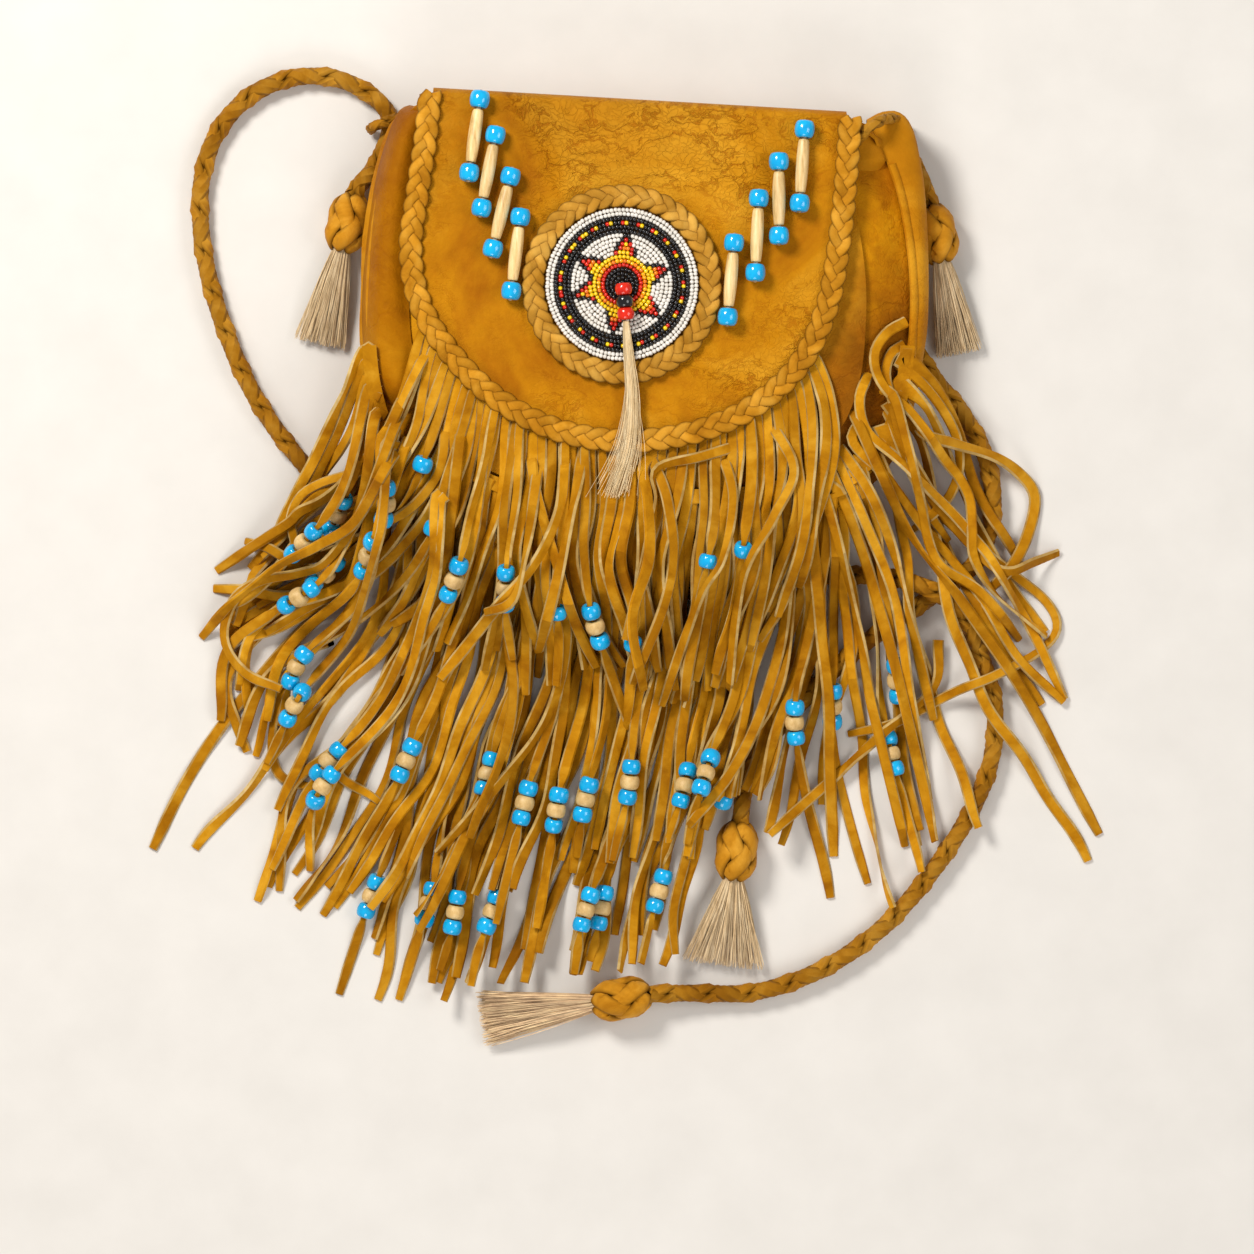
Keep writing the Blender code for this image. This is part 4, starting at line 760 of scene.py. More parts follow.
def flat_braid(form, line, width, pitch, closed=False):
    """Three laces braided flat along a line that runs on the surface below them."""
    line = np.asarray(line, dtype=float)
    ends = np.vstack([line, line[:1]]) if closed else line
    total = float(run_of(ends)[-1])
    turns = max(1, round(total / pitch))
    line = even(line, total / turns / 16, closed)
    along = drawn_along(line, closed)
    side = sideways(along)
    run = np.linspace(0, 2 * math.pi * turns, len(line), endpoint=not closed)
    reach_out = width * 0.29
    for k in range(3):
        phase = run + 2 * math.pi * k / 3
        across = reach_out * np.sin(phase)
        height = 1.9 + 0.95 * np.sin(2 * phase)
        path = line + side * across[:, None]
        path[:, 2] += height
        lace(form, path, UP, width * 0.215, 0.95, closed, tone=0.72 + 0.1 * k)


class Axis:
    """A line in space with steady sideways and upward directions, looked up by length along it."""

    def __init__(self, points, spacing=1.0, up=UP):
        self.line = even(points, spacing)
        self.run = run_of(self.line)
        along = drawn_along(self.line)
        self.side = unit(np.cross(along, up))
        self.over = unit(np.cross(self.side, along))
        self.along = along
        self.length = float(self.run[-1])

    def at(self, s, table):
        return np.stack([np.interp(s, self.run, table[:, k]) for k in range(3)], axis=-1)

    def place(self, s, turn, radius):
        s = np.asarray(s)
        beyond = np.where(s > self.length, s - self.length, np.where(s < 0, s, 0.0))
        middle = self.at(s, self.line) + self.at(s, self.along) * beyond[..., None]
        out = self.at(s, self.side) * np.cos(turn)[..., None] + self.at(s, self.over) * np.sin(turn)[...,
                                                                                                     None]
        return middle + out * np.asarray(radius)[..., None]


def wrapped(form, axis, s, turn, lift, radius, half_width, half_thick, closed=False, tone=0.5):
    """A lace that runs round an axis; s, turn and lift give its course, radius its bed at each s."""
    base = radius(s)
    step_s = np.gradient(s)
    step_q = np.gradient(turn) * base
    if closed:
        step_s = (np.roll(s, -1) - np.roll(s, 1)) / 2
        whole = turn[-1] + (turn[1] - turn[0])
        step_q = (np.roll(turn, -1) - np.roll(turn, 1)) / 2
        step_q[0] += whole / 2
        step_q[-1] += whole / 2
        step_q = step_q * base
    size = np.hypot(step_s, step_q)
    cs, cq = step_s / size, step_q / size
    rows = []
    for a, b in LACE:
        where = s - a * half_width * cq
        rows.append(axis.place(where, turn + a * half_width * cs / base,
                               radius(where) + lift + b * half_thick))
    form.grid(np.stack(rows, axis=1), closed_rows=closed, tone=tone * LACE_SHADE_TONES)


def round_braid(form, axis, diameter, pitch):
    """Four laces braided round: two turn one way and two the other, over and under by turns."""
    turns = max(1.0, axis.length / pitch)
    s = np.linspace(0, axis.length, int(turns * 14))
    phase = 2 * math.pi * s / pitch
    bed = diameter * 0.32
    for way in (1, -1):
        for k in range(2):
            lift = way * 0.075 * diameter * np.cos(2 * phase)
            wrapped(form, axis, s, way * phase + math.pi * k, lift, lambda v: np.full(np.shape(v), bed),
                    diameter * 0.425, diameter * 0.10, tone=0.50 + 0.08 * k + 0.06 * way)
    # Core under the laces, toned near black: painted shade in the gaps between them
    core = np.linspace(0, axis.length, max(4, int(axis.length / 6)))
    rows = [axis.place(core, np.full(len(core), 2 * math.pi * j / 8), np.full(len(core), bed * 0.92))
            for j in range(8)]
    form.grid(np.stack(rows, axis=1), tone=0.0)


def turned(form, axis, profile, sides, slots=0, closed=False, tone=0.5):
    """Round form: profile is a list of (length along, radius)."""
    s = np.array([p[0] for p in profile], dtype=float)
    r = np.array([p[1] for p in profile], dtype=float)
    rows = [axis.place(s, np.full(len(s), 2 * math.pi * (j + 0.5) / sides), r) for j in range(sides)]
    form.grid(np.stack(rows, axis=1), slots, closed_rows=closed, tone=tone)


def bead_form(form, centre, direction, radius, length, hole, sides=20, tone=0.5):
    direction = unit(direction)
    centre = np.asarray(centre, dtype=float)
    axis = Axis([centre - direction * length / 2, centre + direction * length / 2], length / 2,
                UP if abs(direction[2]) < 0.9 else (0, 1.0, 0))
    profile = [(0.06 * length, hole)]
    for k in range(9):
        turn = math.radians(-90 + 22.5 * k)
        swell = (0.42 + 0.58 * math.cos(turn)) ** 0.9
        profile.append((length / 2 * (1 + math.sin(turn)), hole + (radius - hole) * swell))
    profile.append((0.94 * length, hole))
    turned(form, axis, profile, sides, closed=True, tone=tone)


# Cords, knots and tassels

BRAID_TURN = 40.0
KNOT_LEADS = 3
KNOT_BIGHTS = 5


def knot(name, axis, length, radius, materials):
    """Woven ball: one lace led round and round, over and under itself, on a small core."""
    form = Form()
    middle = axis.length / 2

    def bed(s):
        share = np.clip(np.abs(np.asarray(s) - middle) / (length / 2), 0, 1)
        return radius * (0.84 - 0.36 * share ** 2.6)

    count = 380
    t = np.linspace(0, 2 * math.pi * KNOT_LEADS, count, endpoint=False)
    u = KNOT_BIGHTS * t / KNOT_LEADS
    s = middle + (length / 2 - 3.4) * np.cos(u)
    wrapped(form, axis, s, t, 0.085 * radius * np.sin(2 * u), bed, 0.42 * radius, 0.11 * radius, closed=True,
            tone=0.9)
    # Core under the lace, toned near black: painted shade in the gaps of the weave
    ends = np.linspace(0.8, axis.length - 0.8, 9)
    turned(form, axis, [(v, float(bed(v)) * 0.93) for v in ends], 18, tone=0.05)
    return piece(form, f"woven_{name}", materials, "bag", (name,))


def single_hair(form, line, width, turns, tone):
    """One hair along a line: a thin tube of a width, with its sides at given turns."""
    along = drawn_along(line)
    across = sideways(along)
    over = np.cross(across, along)
    rows = [line + across * (math.cos(turn) * width) + over * (math.sin(turn) * width) for turn in turns]
    form.grid(np.stack(rows, axis=1), tone=tone)


def hair(form, rng, roots, tips, thick, bow):
    """Many single hairs from roots to tips, each tapered and swayed a little."""
    turns = [2 * math.pi * j / 3 + 0.5 for j in range(3)]
    for root, tip in zip(roots, tips):
        share = np.linspace(0, 1, 6)[:, None]
        line = root * (1 - share) + tip * share
        sway = rng.uniform(-1, 1) * 0.02 * np.linalg.norm(tip - root)
        line = line + sideways(tip - root) * sway * np.sin(math.pi * share * rng.uniform(0.7, 1.6))
        line = bow(line, share)
        tone = float(np.clip(rng.gauss(0.55, 0.22), 0, 1))
        single_hair(form, line, thick * (1.0 - 0.45 * share), turns, tone)


def tassel(name, centre, along, side, length, width, materials, seed):
    rng = random.Random(seed)
    form = Form()
    start = centre + along * (KNOT_LENGTH / 2 - 3.0)
    roots, tips = [], []
    for _ in range(420):
        turn, out = rng.uniform(0, 2 * math.pi), math.sqrt(rng.uniform(0, 1))
        roots.append(start + side * (3.6 * out * math.cos(turn))
                     + np.array([0, 0, 3.6 * out * math.sin(turn)]))
        spread = out * math.cos(turn)
        tip = start + along * ((length + 3.0) * rng.uniform(0.90, 1.0)) + side * (spread * width / 2)
        tip[2] = 1.0 + 8.2 * (0.5 + 0.5 * out * math.sin(turn)) * rng.uniform(0.75, 1.0)
        tips.append(tip)

    def bow(line, share):
        line[:, 2] += 1.3 * np.sin(math.pi * share[:, 0])
        line[:, 2] = np.maximum(line[:, 2], 0.6)
        return line

    hair(form, rng, roots, tips, 0.27, bow)
    # Solid cones inside the hair, toned dark: painted shade within the tassel
    ends = [(0.0, 3.3), (length * 0.3, width * 0.22), (length * 0.72, width * 0.33)]
    for (a, wide), (b, wider) in zip(ends, ends[1:]):
        rows = []
        for at, half in ((a, wide), (b, wider)):
            middle = start + along * at
            middle[2] = centre[2] * (1 - at / length) + 4.2 * at / length
            turn = np.arange(12) * math.pi / 6
            rows.append(middle + np.cos(turn)[:, None] * side * half
                        + np.sin(turn)[:, None] * np.array([0, 0, 2.6]))
        form.grid(rows, tone=0.1)
    piece(form, f"horsehair_{name}", materials, "bag", (name,))


def build_cords():
    """The strap's cords, with their knots and tassels."""
    ends, names, lumps = {}, {}, []
    for index, (key, (centre_px, toward_px, length, width)) in enumerate(KNOTS.items()):
        centre = np.array([*from_photo(*centre_px), KNOT_RADIUS + GAP])
        toward = np.array([*from_photo(*toward_px), KNOT_RADIUS + GAP])
        along = unit(toward - centre)
        side = sideways(along)
        axis = Axis([centre - along * KNOT_LENGTH / 2, centre + along * KNOT_LENGTH / 2])
        woven = knot(f"knot_{key}", axis, KNOT_LENGTH, KNOT_RADIUS, [BRAID])
        tassel(f"tassel_{key}", centre, along, side, length, width, [HAIR_ACROSS if key == "end" else HAIR],
               40 + index)
        ends[key] = [tuple(Vector(p)) for p in knot_entry(Vector(centre), Vector(along))]
        names[key] = [woven, bpy.data.objects[f"horsehair_tassel_{key}"]]
        lumps.append((centre, along, centre + along * (KNOT_LENGTH / 2 + length), width))
    lines = {
        "strap_cord_left": route_curve(STRAP_LEFT_ROUTE, ends["left"], ends["end"]),
        "strap_cord_right": route_curve(STRAP_RIGHT_ROUTE, (), ends["bottom"]),
        "strap_tail_right": route_curve(TAIL_RIGHT_ROUTE, (), ends["right"]),
    }
    for name, line in lines.items():
        fine = smooth_curve(line, max(8, int(curve_length(line) / 4)))
        form = Form()
        axis = Axis(fine)
        round_braid(form, axis, CORD_DIAMETER, BRAID_TURN)
        made = piece(form, f"braided_{name}", [BRAID], "bag", (name,))
        if curve_length(fine) < 6 * CORD_DIAMETER:
            continue
    return list(lines.values()), lumps


def build_keepers():
    for name, points in KEEPERS.items():
        form = Form()
        line = smooth_curve(points, 70)
        round_braid(form, Axis(line, 0.5, (0.3, 1.0, 0.0)), 2 * KEEPER_RADIUS + 0.6, 21.0)
        piece(form, f"keeper_{name}", [BRAID], "bag", (f"strap_loop_{name}",))


# Pouch

MARGIN_LEFT_PX = [(426, 113), (412, 106), (401, 110), (393, 124), (385, 147), (378, 172), (372, 205),
                  (367, 245),
                  (363, 290), (363, 335), (368, 380), (378, 420)]
MARGIN_LEFT_INNER_PX = [(436, 120), (431, 125), (424, 138), (418, 158), (414, 185), (411, 215), (410, 250),
                        (410, 285), (411, 320), (414, 350), (420, 380), (428, 410)]
MARGIN_RIGHT_PX = [(866, 121), (882, 113), (900, 114), (912, 130), (919, 158), (924, 190), (927, 240),
                   (928, 290),
                   (926, 335), (918, 380), (905, 420)]
MARGIN_RIGHT_INNER_PX = [(867, 133), (872, 136), (878, 146), (884, 160), (890, 178), (899, 205), (907, 240),
                         (910, 285), (909, 325), (903, 362), (893, 400)]
TAB_RIGHT_PX = [(868, 128), (873, 137), (880, 150), (887, 168)]
TAB_RIGHT_INNER_PX = [(846, 122), (845, 134), (844, 150), (843, 170)]
# Inset and drop of each line of the lip at a margin's outer edge
MARGIN_LIP = ((3.0, 9.0), (1.0, 5.5), (0.2, 2.4))


def ripple(points, size, depth, seed=0.0):
    """Soft uneven depth, from 0 to the given one, that varies over a size in millimetres."""
    from_noise = [blender_noise.noise(Vector((p[0] / size + seed, p[1] / size, p[2] / size))) for p in points]
    return depth * (0.5 + 0.5 * np.clip(np.array(from_noise) * 1.6, -1, 1))


def sink(rows, size, depth, seed=0.0):
    """Lower the points of rows by a ripple."""
    flat = rows.reshape(-1, 3)
    flat[:, 2] -= ripple(flat, size, depth, seed)
    return flat.reshape(rows.shape)


def build_back():
    points = even_outline(150)
    scale = POUCH_WIDTH / 2
    lines = []
    for section in (SIDE_SECTION, SPINE_SECTION):
        smooth = smooth_curve([(share * scale, height) for share, height in section], 15)
        outer = [(x / scale, max(0.0, z)) for x, z in smooth]
        lines.append(outer + offset_section(outer, LEATHER, scale)[::-1])
    rings = []
    for side, spine in zip(*lines):
        ring = []
        for point in points:
            weight = spine_weight(point)
            share = side[0] * (1 - weight) + spine[0] * weight
            height = side[1] * (1 - weight) + spine[1] * weight
            ring.append((*on_share(point, share), height))
        rings.append(ring)
    rings = np.array(rings)
    for k in range(2, len(rings) - 2):
        out = unit(rings[k][:, :2] - CENTRE)
        swell = ripple(rings[k], 26.0, 1.5, 3.0) + ripple(rings[k], 9.0, 0.5, 8.0)
        rings[k][:, :2] -= out * (swell * min(1.0, k / 5, (len(rings) - 1 - k) / 5))[:, None]
    form = Form()
    form.grid(rings, tone=0.7)
    piece(form, "back_leather", [LEATHER_MARGIN], "bag", ("back_panel",))


def seam_points(count, above=0.0):
    points = [p for p in even_outline(count) if p[1] <= GUSSET_HEM_Y + above]
    start = max(range(len(points)), key=lambda i: np.linalg.norm(points[i] - points[i - 1]))
    return points[start:] + points[:start]


def build_gusset_leather():
    points = seam_points(170, 5.0)
    heights = (RIM_HEIGHT + GAP, SEAM_HEIGHT - 5.0, SEAM_HEIGHT - 2.0, SEAM_HEIGHT)
    across = smooth_curve([(share, height) for share, height in zip(GUSSET_SHARES, heights)], 13)
    rows = []
    for point in points:
        upper = np.array([(*on_share(point, s), z + LEATHER * 0.2) for s, z in across])
        sag = ripple(upper, 15.0, 1.6, 1.0) + ripple(upper, 6.0, 0.5, 5.0)
        upper[:, 2] -= sag * np.sin(np.linspace(0, math.pi, len(upper)))
        lower = upper.copy()
        lower[:, 2] -= LEATHER
        lower[0] = (*on_share(point, across[0][0] - 0.012), heights[0])
        rows.append(np.vstack([upper, lower[::-1]]))
    form = Form()
    form.grid(rows, tone=0.5)
    piece(form, "gusset_leather", [LEATHER_GUSSET_SHADED], "bag", ("gusset",))


def build_piping():
    points = seam_points(170)
    line = []
    for point in points:
        out = unit(point - CENTRE)
        line.append((*(on_share(point, 0.945) + out * 2.0), RIM_HEIGHT + 2.2))
    form = Form()
    line = even(line, 2.2)
    along = drawn_along(line)
    side = sideways(along)
    rows = []
    for k in range(12):
        turn = math.radians(30 * k)
        radius = PIPING_RADIUS * (0.94 + 0.06 * math.cos(3 * turn))
        rows.append(line + side * (radius * math.cos(turn)) + UP * (radius * math.sin(turn)))
    form.grid(np.stack(rows, axis=1), tone=0.8)
    piece(form, "welt", [LEATHER_MARGIN], "bag", ("gusset_piping",))


def ruled(name, material, first, second, heights, bulge, tone=0.6, thickness=LEATHER):
    """Leather band between two lines of photo pixels, rounded up between its edges."""
    a = even(smooth_curve([from_photo(*p) for p in first], 60), 2.0)
    b = even(smooth_curve([from_photo(*p) for p in second], 60), 2.0)
    share = np.linspace(0, 1, 60)
    a = np.stack([np.interp(share * run_of(a)[-1], run_of(a), a[:, k]) for k in (0, 1)], axis=-1)
    b = np.stack([np.interp(share * run_of(b)[-1], run_of(b), b[:, k]) for k in (0, 1)], axis=-1)
    rows = []
    for k in range(len(a)):
        way = unit(b[k] - a[k])
        row = [(*(a[k] + way * inset), heights[0] - drop) for inset, drop in MARGIN_LIP]
        for t in np.linspace(0, 1, 17):
            x, y = a[k] * (1 - t) + b[k] * t
            row.append((x, y, heights[0] * (1 - t) + heights[1] * t + bulge * math.sin(math.pi * t ** 0.75)))
        rows.append(row)
    rows = np.array(rows)
    rows[:, 1:-1] = sink(rows[:, 1:-1], 14.0, 0.9, 6.0)
    fade = np.clip(share / 0.16 - 5.25, 0, 1)[:, None] ** 2
    rows[..., 2] -= 3.0 * fade
    rows[..., :2] += unit(CENTRE - rows[..., :2]) * (7.0 * fade)[..., None]
    form = Form()
    form.plate(rows, thickness, tone=tone)
    piece(form, name, [material], "bag", (), 60.0)
    return rows[:, 3:].reshape(-1, 3)


def build_shoulders():
    """The back's margin, which turns over the top corners and lies beside the flap."""
    left = ruled("margin_left", LEATHER_MARGIN_SHADED, MARGIN_LEFT_PX, MARGIN_LEFT_INNER_PX, (27.0, 40.5), 10.5)
    right = ruled("margin_right", LEATHER_MARGIN, MARGIN_RIGHT_PX, MARGIN_RIGHT_INNER_PX, (29.0, 33.5), 2.6)
    ruled("gusset_top_right", LEATHER_MARGIN, TAB_RIGHT_PX, TAB_RIGHT_INNER_PX, (35.5, 41.0), 1.8)
    return np.vstack([left, right])


def build_front():
    side = [on_share(p, FRONT_SHARE) for p in even_outline(160)]
    low = [p for p in side if p[1] < MOUTH_EDGE_Y - 3]
    start = max(range(len(low)), key=lambda i: np.linalg.norm(low[i] - low[i - 1]))
    low = low[start:] + low[:start]
    left, right = low[-1][0], low[0][0]
    edge = [(left + (right - left) * k / 24, MOUTH_EDGE_Y - 3 * math.sin(math.pi * k / 24))
            for k in range(1, 24)]
    outline = np.array([tuple(p) for p in low] + edge)
    centre = np.array([0.0, -12.0])
    rows = []
    for factor in np.linspace(1.0, 0.06, 16):
        ring = centre + (outline - centre) * factor
        rows.append([(x, y, float(pouch_top(x, y))) for x, y in ring])
    rows = np.array(rows)
    rows[1:] = sink(rows[1:], 24.0, 1.0, 2.0)
    form = Form()
    form.plate(rows, LEATHER, 0, 1, wrap=True)
    piece(form, "front_leather", [LEATHER_TAN, PALE_EDGE], "bag", ("front_panel",))


# Flap

FLAP_MIDDLE = np.array([FLAP_CENTRE_X, 26.0])
FOLD_LAP = 1.6


def flap_outline(count, across):
    edge = [tuple(p) for p in flap_edge_line(count)]
    first, last = edge[0], edge[-1]
    top = []
    for k in range(across + 1):
        x = last[0] + (first[0] - last[0]) * k / across
        top.append((x, fold_y(x) - FOLD_LAP))
    return np.array(edge[1:-1] + top)


def build_flap():
    outline = flap_outline(150, 60)
    rows = []
    for factor in np.concatenate([[1.0, 0.985, 0.96], np.linspace(0.92, 0.03, 30)]):
        ring = FLAP_MIDDLE + (outline - FLAP_MIDDLE) * factor
        rows.append([(x, y, flap_top(x, y)) for x, y in ring])
    rows = np.array(rows)
    flat = rows[3:].reshape(-1, 3)
    flat[:, 2] -= ripple(flat, 30.0, 0.7, 4.0) + ripple(flat, 11.0, 0.35, 9.0)
    rows[3:] = flat.reshape(rows[3:].shape)
    form = Form()
    form.plate(rows, FLAP_LEATHER, 0, 1, tone=0.75, wrap=True)
    piece(form, "flap_leather", [LEATHER_FLAP, PALE_EDGE], "flap", ("flap_panel",), 50.0)


def build_fold():
    """The flap's leather over the hinge line and down the spine."""
    edge = flap_edge_line(150)
    left, right = sorted((edge[0][0], edge[-1][0]))
    course = [(-1.7, 0.0), (-0.6, 0.0), (0.5, -0.35), (1.6, -1.2), (2.6, -2.8), (3.3, -5.2), (3.7, -8.5),
              (3.9, -12.0), (3.9, -15.0)]
    course = smooth_curve(course, 22)
    steps = drawn_along(course)
    inner = course + np.column_stack([steps[:, 1], -steps[:, 0]]) * 1.5
    rows = []
    for x in np.linspace(left + 1.5, right - 1.5, 110):
        top = flap_top(x, fold_y(x) - FOLD_LAP) - 0.02
        ring = [(x, fold_y(x) + y, top + z) for y, z in course]
        ring += [(x, fold_y(x) + y, top + z) for y, z in inner[::-1]]
        rows.append(ring)
    form = Form()
    form.grid(rows, tone=0.78)
    made = piece(form, "fold_leather", [LEATHER_FLAP], None, (), 50.0)
    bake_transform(made)


def build_flap_braids():
    edge = np.array(flap_edge_line(400))
    edge = np.vstack([edge[0] + (0, 2.4), edge, edge[-1] + (0, 2.4)])
    form = Form()
    line = []
    for x, y in edge:
        inward = unit(FLAP_MIDDLE - (x, y)) * BRAID_WIDTH / 2
        line.append((x, y, max(flap_top(x, y), flap_top(x + inward[0], y + inward[1])) + 0.1))
    flat_braid(form, line, BRAID_WIDTH + 0.6, 24.5)
    piece(form, "edge_braid", [BRAID], "flap", ("flap_braid",))
    form = Form()
    ring = [(x, y, ROSETTE_BASE - 0.2) for x, y in circle(ROSETTE_CENTRE, RING_RADIUS - 0.1, 240)]
    flat_braid(form, ring, BRAID_WIDTH + 0.2, 20.5, closed=True)
    piece(form, "rosette_braid", [BRAID_PALE], "flap", ("rosette_ring_braid",))


# Beadwork

STAR_TIPS = (84.0, 148.0, 193.0, 259.0, 318.0, 19.0)
ROSETTE_ROWS = 18
BAND_GROUPS = 25


def bead_colour(row, angle):
    """Colour of a seed bead by its row, counted from the centre, and its direction in degrees."""
    if row >= 17:
        return "white"
    if row in (13, 14, 16):
        return "black"
    if row == 15:
        part = (90.0 - angle) % (360.0 / BAND_GROUPS) * BAND_GROUPS / 360.0
        return "red" if part < 0.27 else "yellow" if part < 0.54 else "black"
    if row >= 8:
        radius = (row - 0.5) * BEAD_ROW
        away = min(abs((angle - tip + 180) % 360 - 180) for tip in STAR_TIPS)
        across = math.radians(away) * radius
        half = 5.9 * (13.1 - row) / 5.1
        if across > half:
            return "white"
        if across > half - 1.5:
            return "black"
        if across > half - 3.0:
            return "red"
        return "orange" if row % 2 else "yellow"
    if row == 7:
        return "yellow"
    if row == 6:
        return "orange" if int(angle / 9) % 3 == 0 else "amber"
    if row == 5:
        return "red"
    return "black"


def seed_bead(form, centre, direction, half_length, radius, tone):
    side = np.array([-direction[1], direction[0], 0.0])
    rows = []
    for at, size in ((-1.0, 0.42), (-0.82, 0.78), (-0.3, 1.0), (0.3, 1.0), (0.82, 0.78), (1.0, 0.42)):
        turn = np.arange(8) * math.pi / 4
        rows.append(centre + direction * (half_length * at) + np.cos(turn)[:, None] * side * radius * size
                    + np.sin(turn)[:, None] * UP * radius * size)
    form.grid(rows, tone=tone)


def build_rosette():
    rng = random.Random(18)
    forms = {name: Form() for name in ("white", "black", "red", "yellow", "orange", "amber")}
    level = ROSETTE_BASE + BACKING_THICKNESS + GAP + 1.0
    for row in range(1, ROSETTE_ROWS + 1):
        radius = (row - 0.5) * BEAD_ROW
        count = max(4, round(2 * math.pi * radius / 1.84))
        shift = rng.uniform(0, 360)
        for k in range(count):
            angle = (shift + 360.0 * (k + rng.uniform(-0.07, 0.07)) / count) % 360
            turn = math.radians(angle)
            out = radius + rng.uniform(-0.12, 0.12)
            centre = np.array([ROSETTE_CENTRE[0] + out * math.cos(turn),
                               ROSETTE_CENTRE[1] + out * math.sin(turn),
                               level + rng.uniform(-0.08, 0.10)])
            yaw = turn + rng.uniform(-0.12, 0.12)
            direction = np.array([-math.sin(yaw), math.cos(yaw), rng.uniform(-0.06, 0.06)])
            size = rng.uniform(0.93, 1.05)
            seed_bead(forms[bead_colour(row, angle)], centre, direction, 0.89 * size, 1.03 * size,
                      rng.uniform(0.55, 1.0))
    stands_for = {
        "white": ("rosette_rim_white", "rosette_field_white"),
        "black": ("rosette_band_black", "rosette_centre_black"),
        "red": ("rosette_star_red",),
        "yellow": ("rosette_star_yellow",),
        "orange": (),
        "amber": (),
    }
    for name, form in forms.items():
        piece(form, f"seed_beads_{name}", [SEED[name]], "flap", stands_for[name], 60.0)
    frame["nodes"]["rosette_backing"].material_slots[0].material = BACKING


def build_drop():
    top = ROSETTE_BASE + BACKING_THICKNESS + GAP + ROSETTE_THICKNESS
    height = top + GAP + DROP_BEAD_RADIUS
    x, y = ROSETTE_CENTRE
    step = DROP_BEAD_LENGTH + GAP
    for k, (name, colour) in enumerate((("upper", "red"), ("middle", "black"), ("lower", "red"))):
        form = Form()
        bead_form(form, (x + 0.8 + 0.5 * k, y - 2.5 - step * k, height), (0.08, -1, 0),
                  DROP_BEAD_RADIUS + 0.1,
                  DROP_BEAD_LENGTH + 0.2, 1.2, 24, 0.9)
        piece(form, f"drop_glass_{name}", [SEED[colour]], "flap", (f"drop_bead_{name}",))


def build_pipes():
    reach_out = PIPE_LENGTH / 2 + 1.0 + CROW_BEAD_LENGTH / 2
    rng = random.Random(8)
    for number, (upper, lower) in enumerate(PIPE_BEADS_PX):
        a, b = np.array(from_photo(*upper)), np.array(from_photo(*lower))
        middle, along = (a + b) / 2, unit(b - a)
        ends = [middle - along * reach_out, middle + along * reach_out]
        rests = [flap_top(*end) + GAP + 0.05 + CROW_BEAD_RADIUS * math.cos(math.pi / 8) for end in ends]
        start = np.array([*ends[0], rests[0]])
        direction = np.array([*ends[1], rests[1]]) - start
        centre, way = start + direction / 2, unit(direction)
        half = PIPE_LENGTH / 2
        tip = half + 1.0 + CROW_BEAD_LENGTH + 0.8
        axis = Axis([centre - way * tip, centre + way * tip])
        form = Form()
        girth = PIPE_RADIUS * rng.uniform(0.95, 1.03)
        shape = [(-half + 0.3, 1.3), (-half, 1.5), (-half, PIPE_END_RADIUS - 0.25),
                 (-half + 0.5, PIPE_END_RADIUS)]
        shape += [(half * v, PIPE_END_RADIUS + (girth - PIPE_END_RADIUS) * (1 - abs(v + 0.05) ** 2.3))
                  for v in np.linspace(-0.9, 0.9, 13)]
        shape += [(half - 0.5, PIPE_END_RADIUS), (half, PIPE_END_RADIUS - 0.25), (half, 1.5),
                  (half - 0.3, 1.3)]
        turned(form, axis, [(v + axis.length / 2, r) for v, r in shape], 24, tone=rng.uniform(0.6, 1.0))
        turned(form, axis, [(0.2, 0.5), (0.6, THONG_RADIUS), (axis.length - 0.6, THONG_RADIUS),
                            (axis.length - 0.2, 0.5)], 10, 1, tone=0.6)
        piece(form, f"bone_pipe_{number + 1}", [BONE, THONG], "flap", (f"hair_pipe_{number + 1}",))
        for k, end in enumerate((start, start + direction)):
            form = Form()
            bead_form(form, end, way, CROW_BEAD_RADIUS, CROW_BEAD_LENGTH, CROW_BEAD_HOLE, 28,
                      rng.uniform(0.8, 1.0))
            index = 2 * number + k + 1
            piece(form, f"glass_bead_{index}", [BLUE_GLASS], "flap", (f"blue_bead_{index}",))


# Fringe

CELL = 1.0
GRID_LOW = np.array([-260.0, -360.0])
GRID_SHAPE = (510, 500)
STATION = 3.0
STRIP_HALF = 2.75
STRIP_THICK = 0.72
RIBBON = [(-1.0, -0.9), (1.0, -0.9), (1.0, -0.4), (0.74, 0.85), (0.0, 1.0), (-0.74, 0.85), (-1.0, -0.4)]
# Slot of each face round a strip; slot 1 is the pale cut edge. In the first two, one upper edge takes the
# face colour instead: painted shade on that side
RIBBON_SLOTS = ([0, 1, 1, 0, 0, 0, 1], [0, 1, 0, 0, 0, 1, 1], [0, 1, 1, 0, 0, 1, 1], [0, 1, 1, 0, 0, 1, 1])


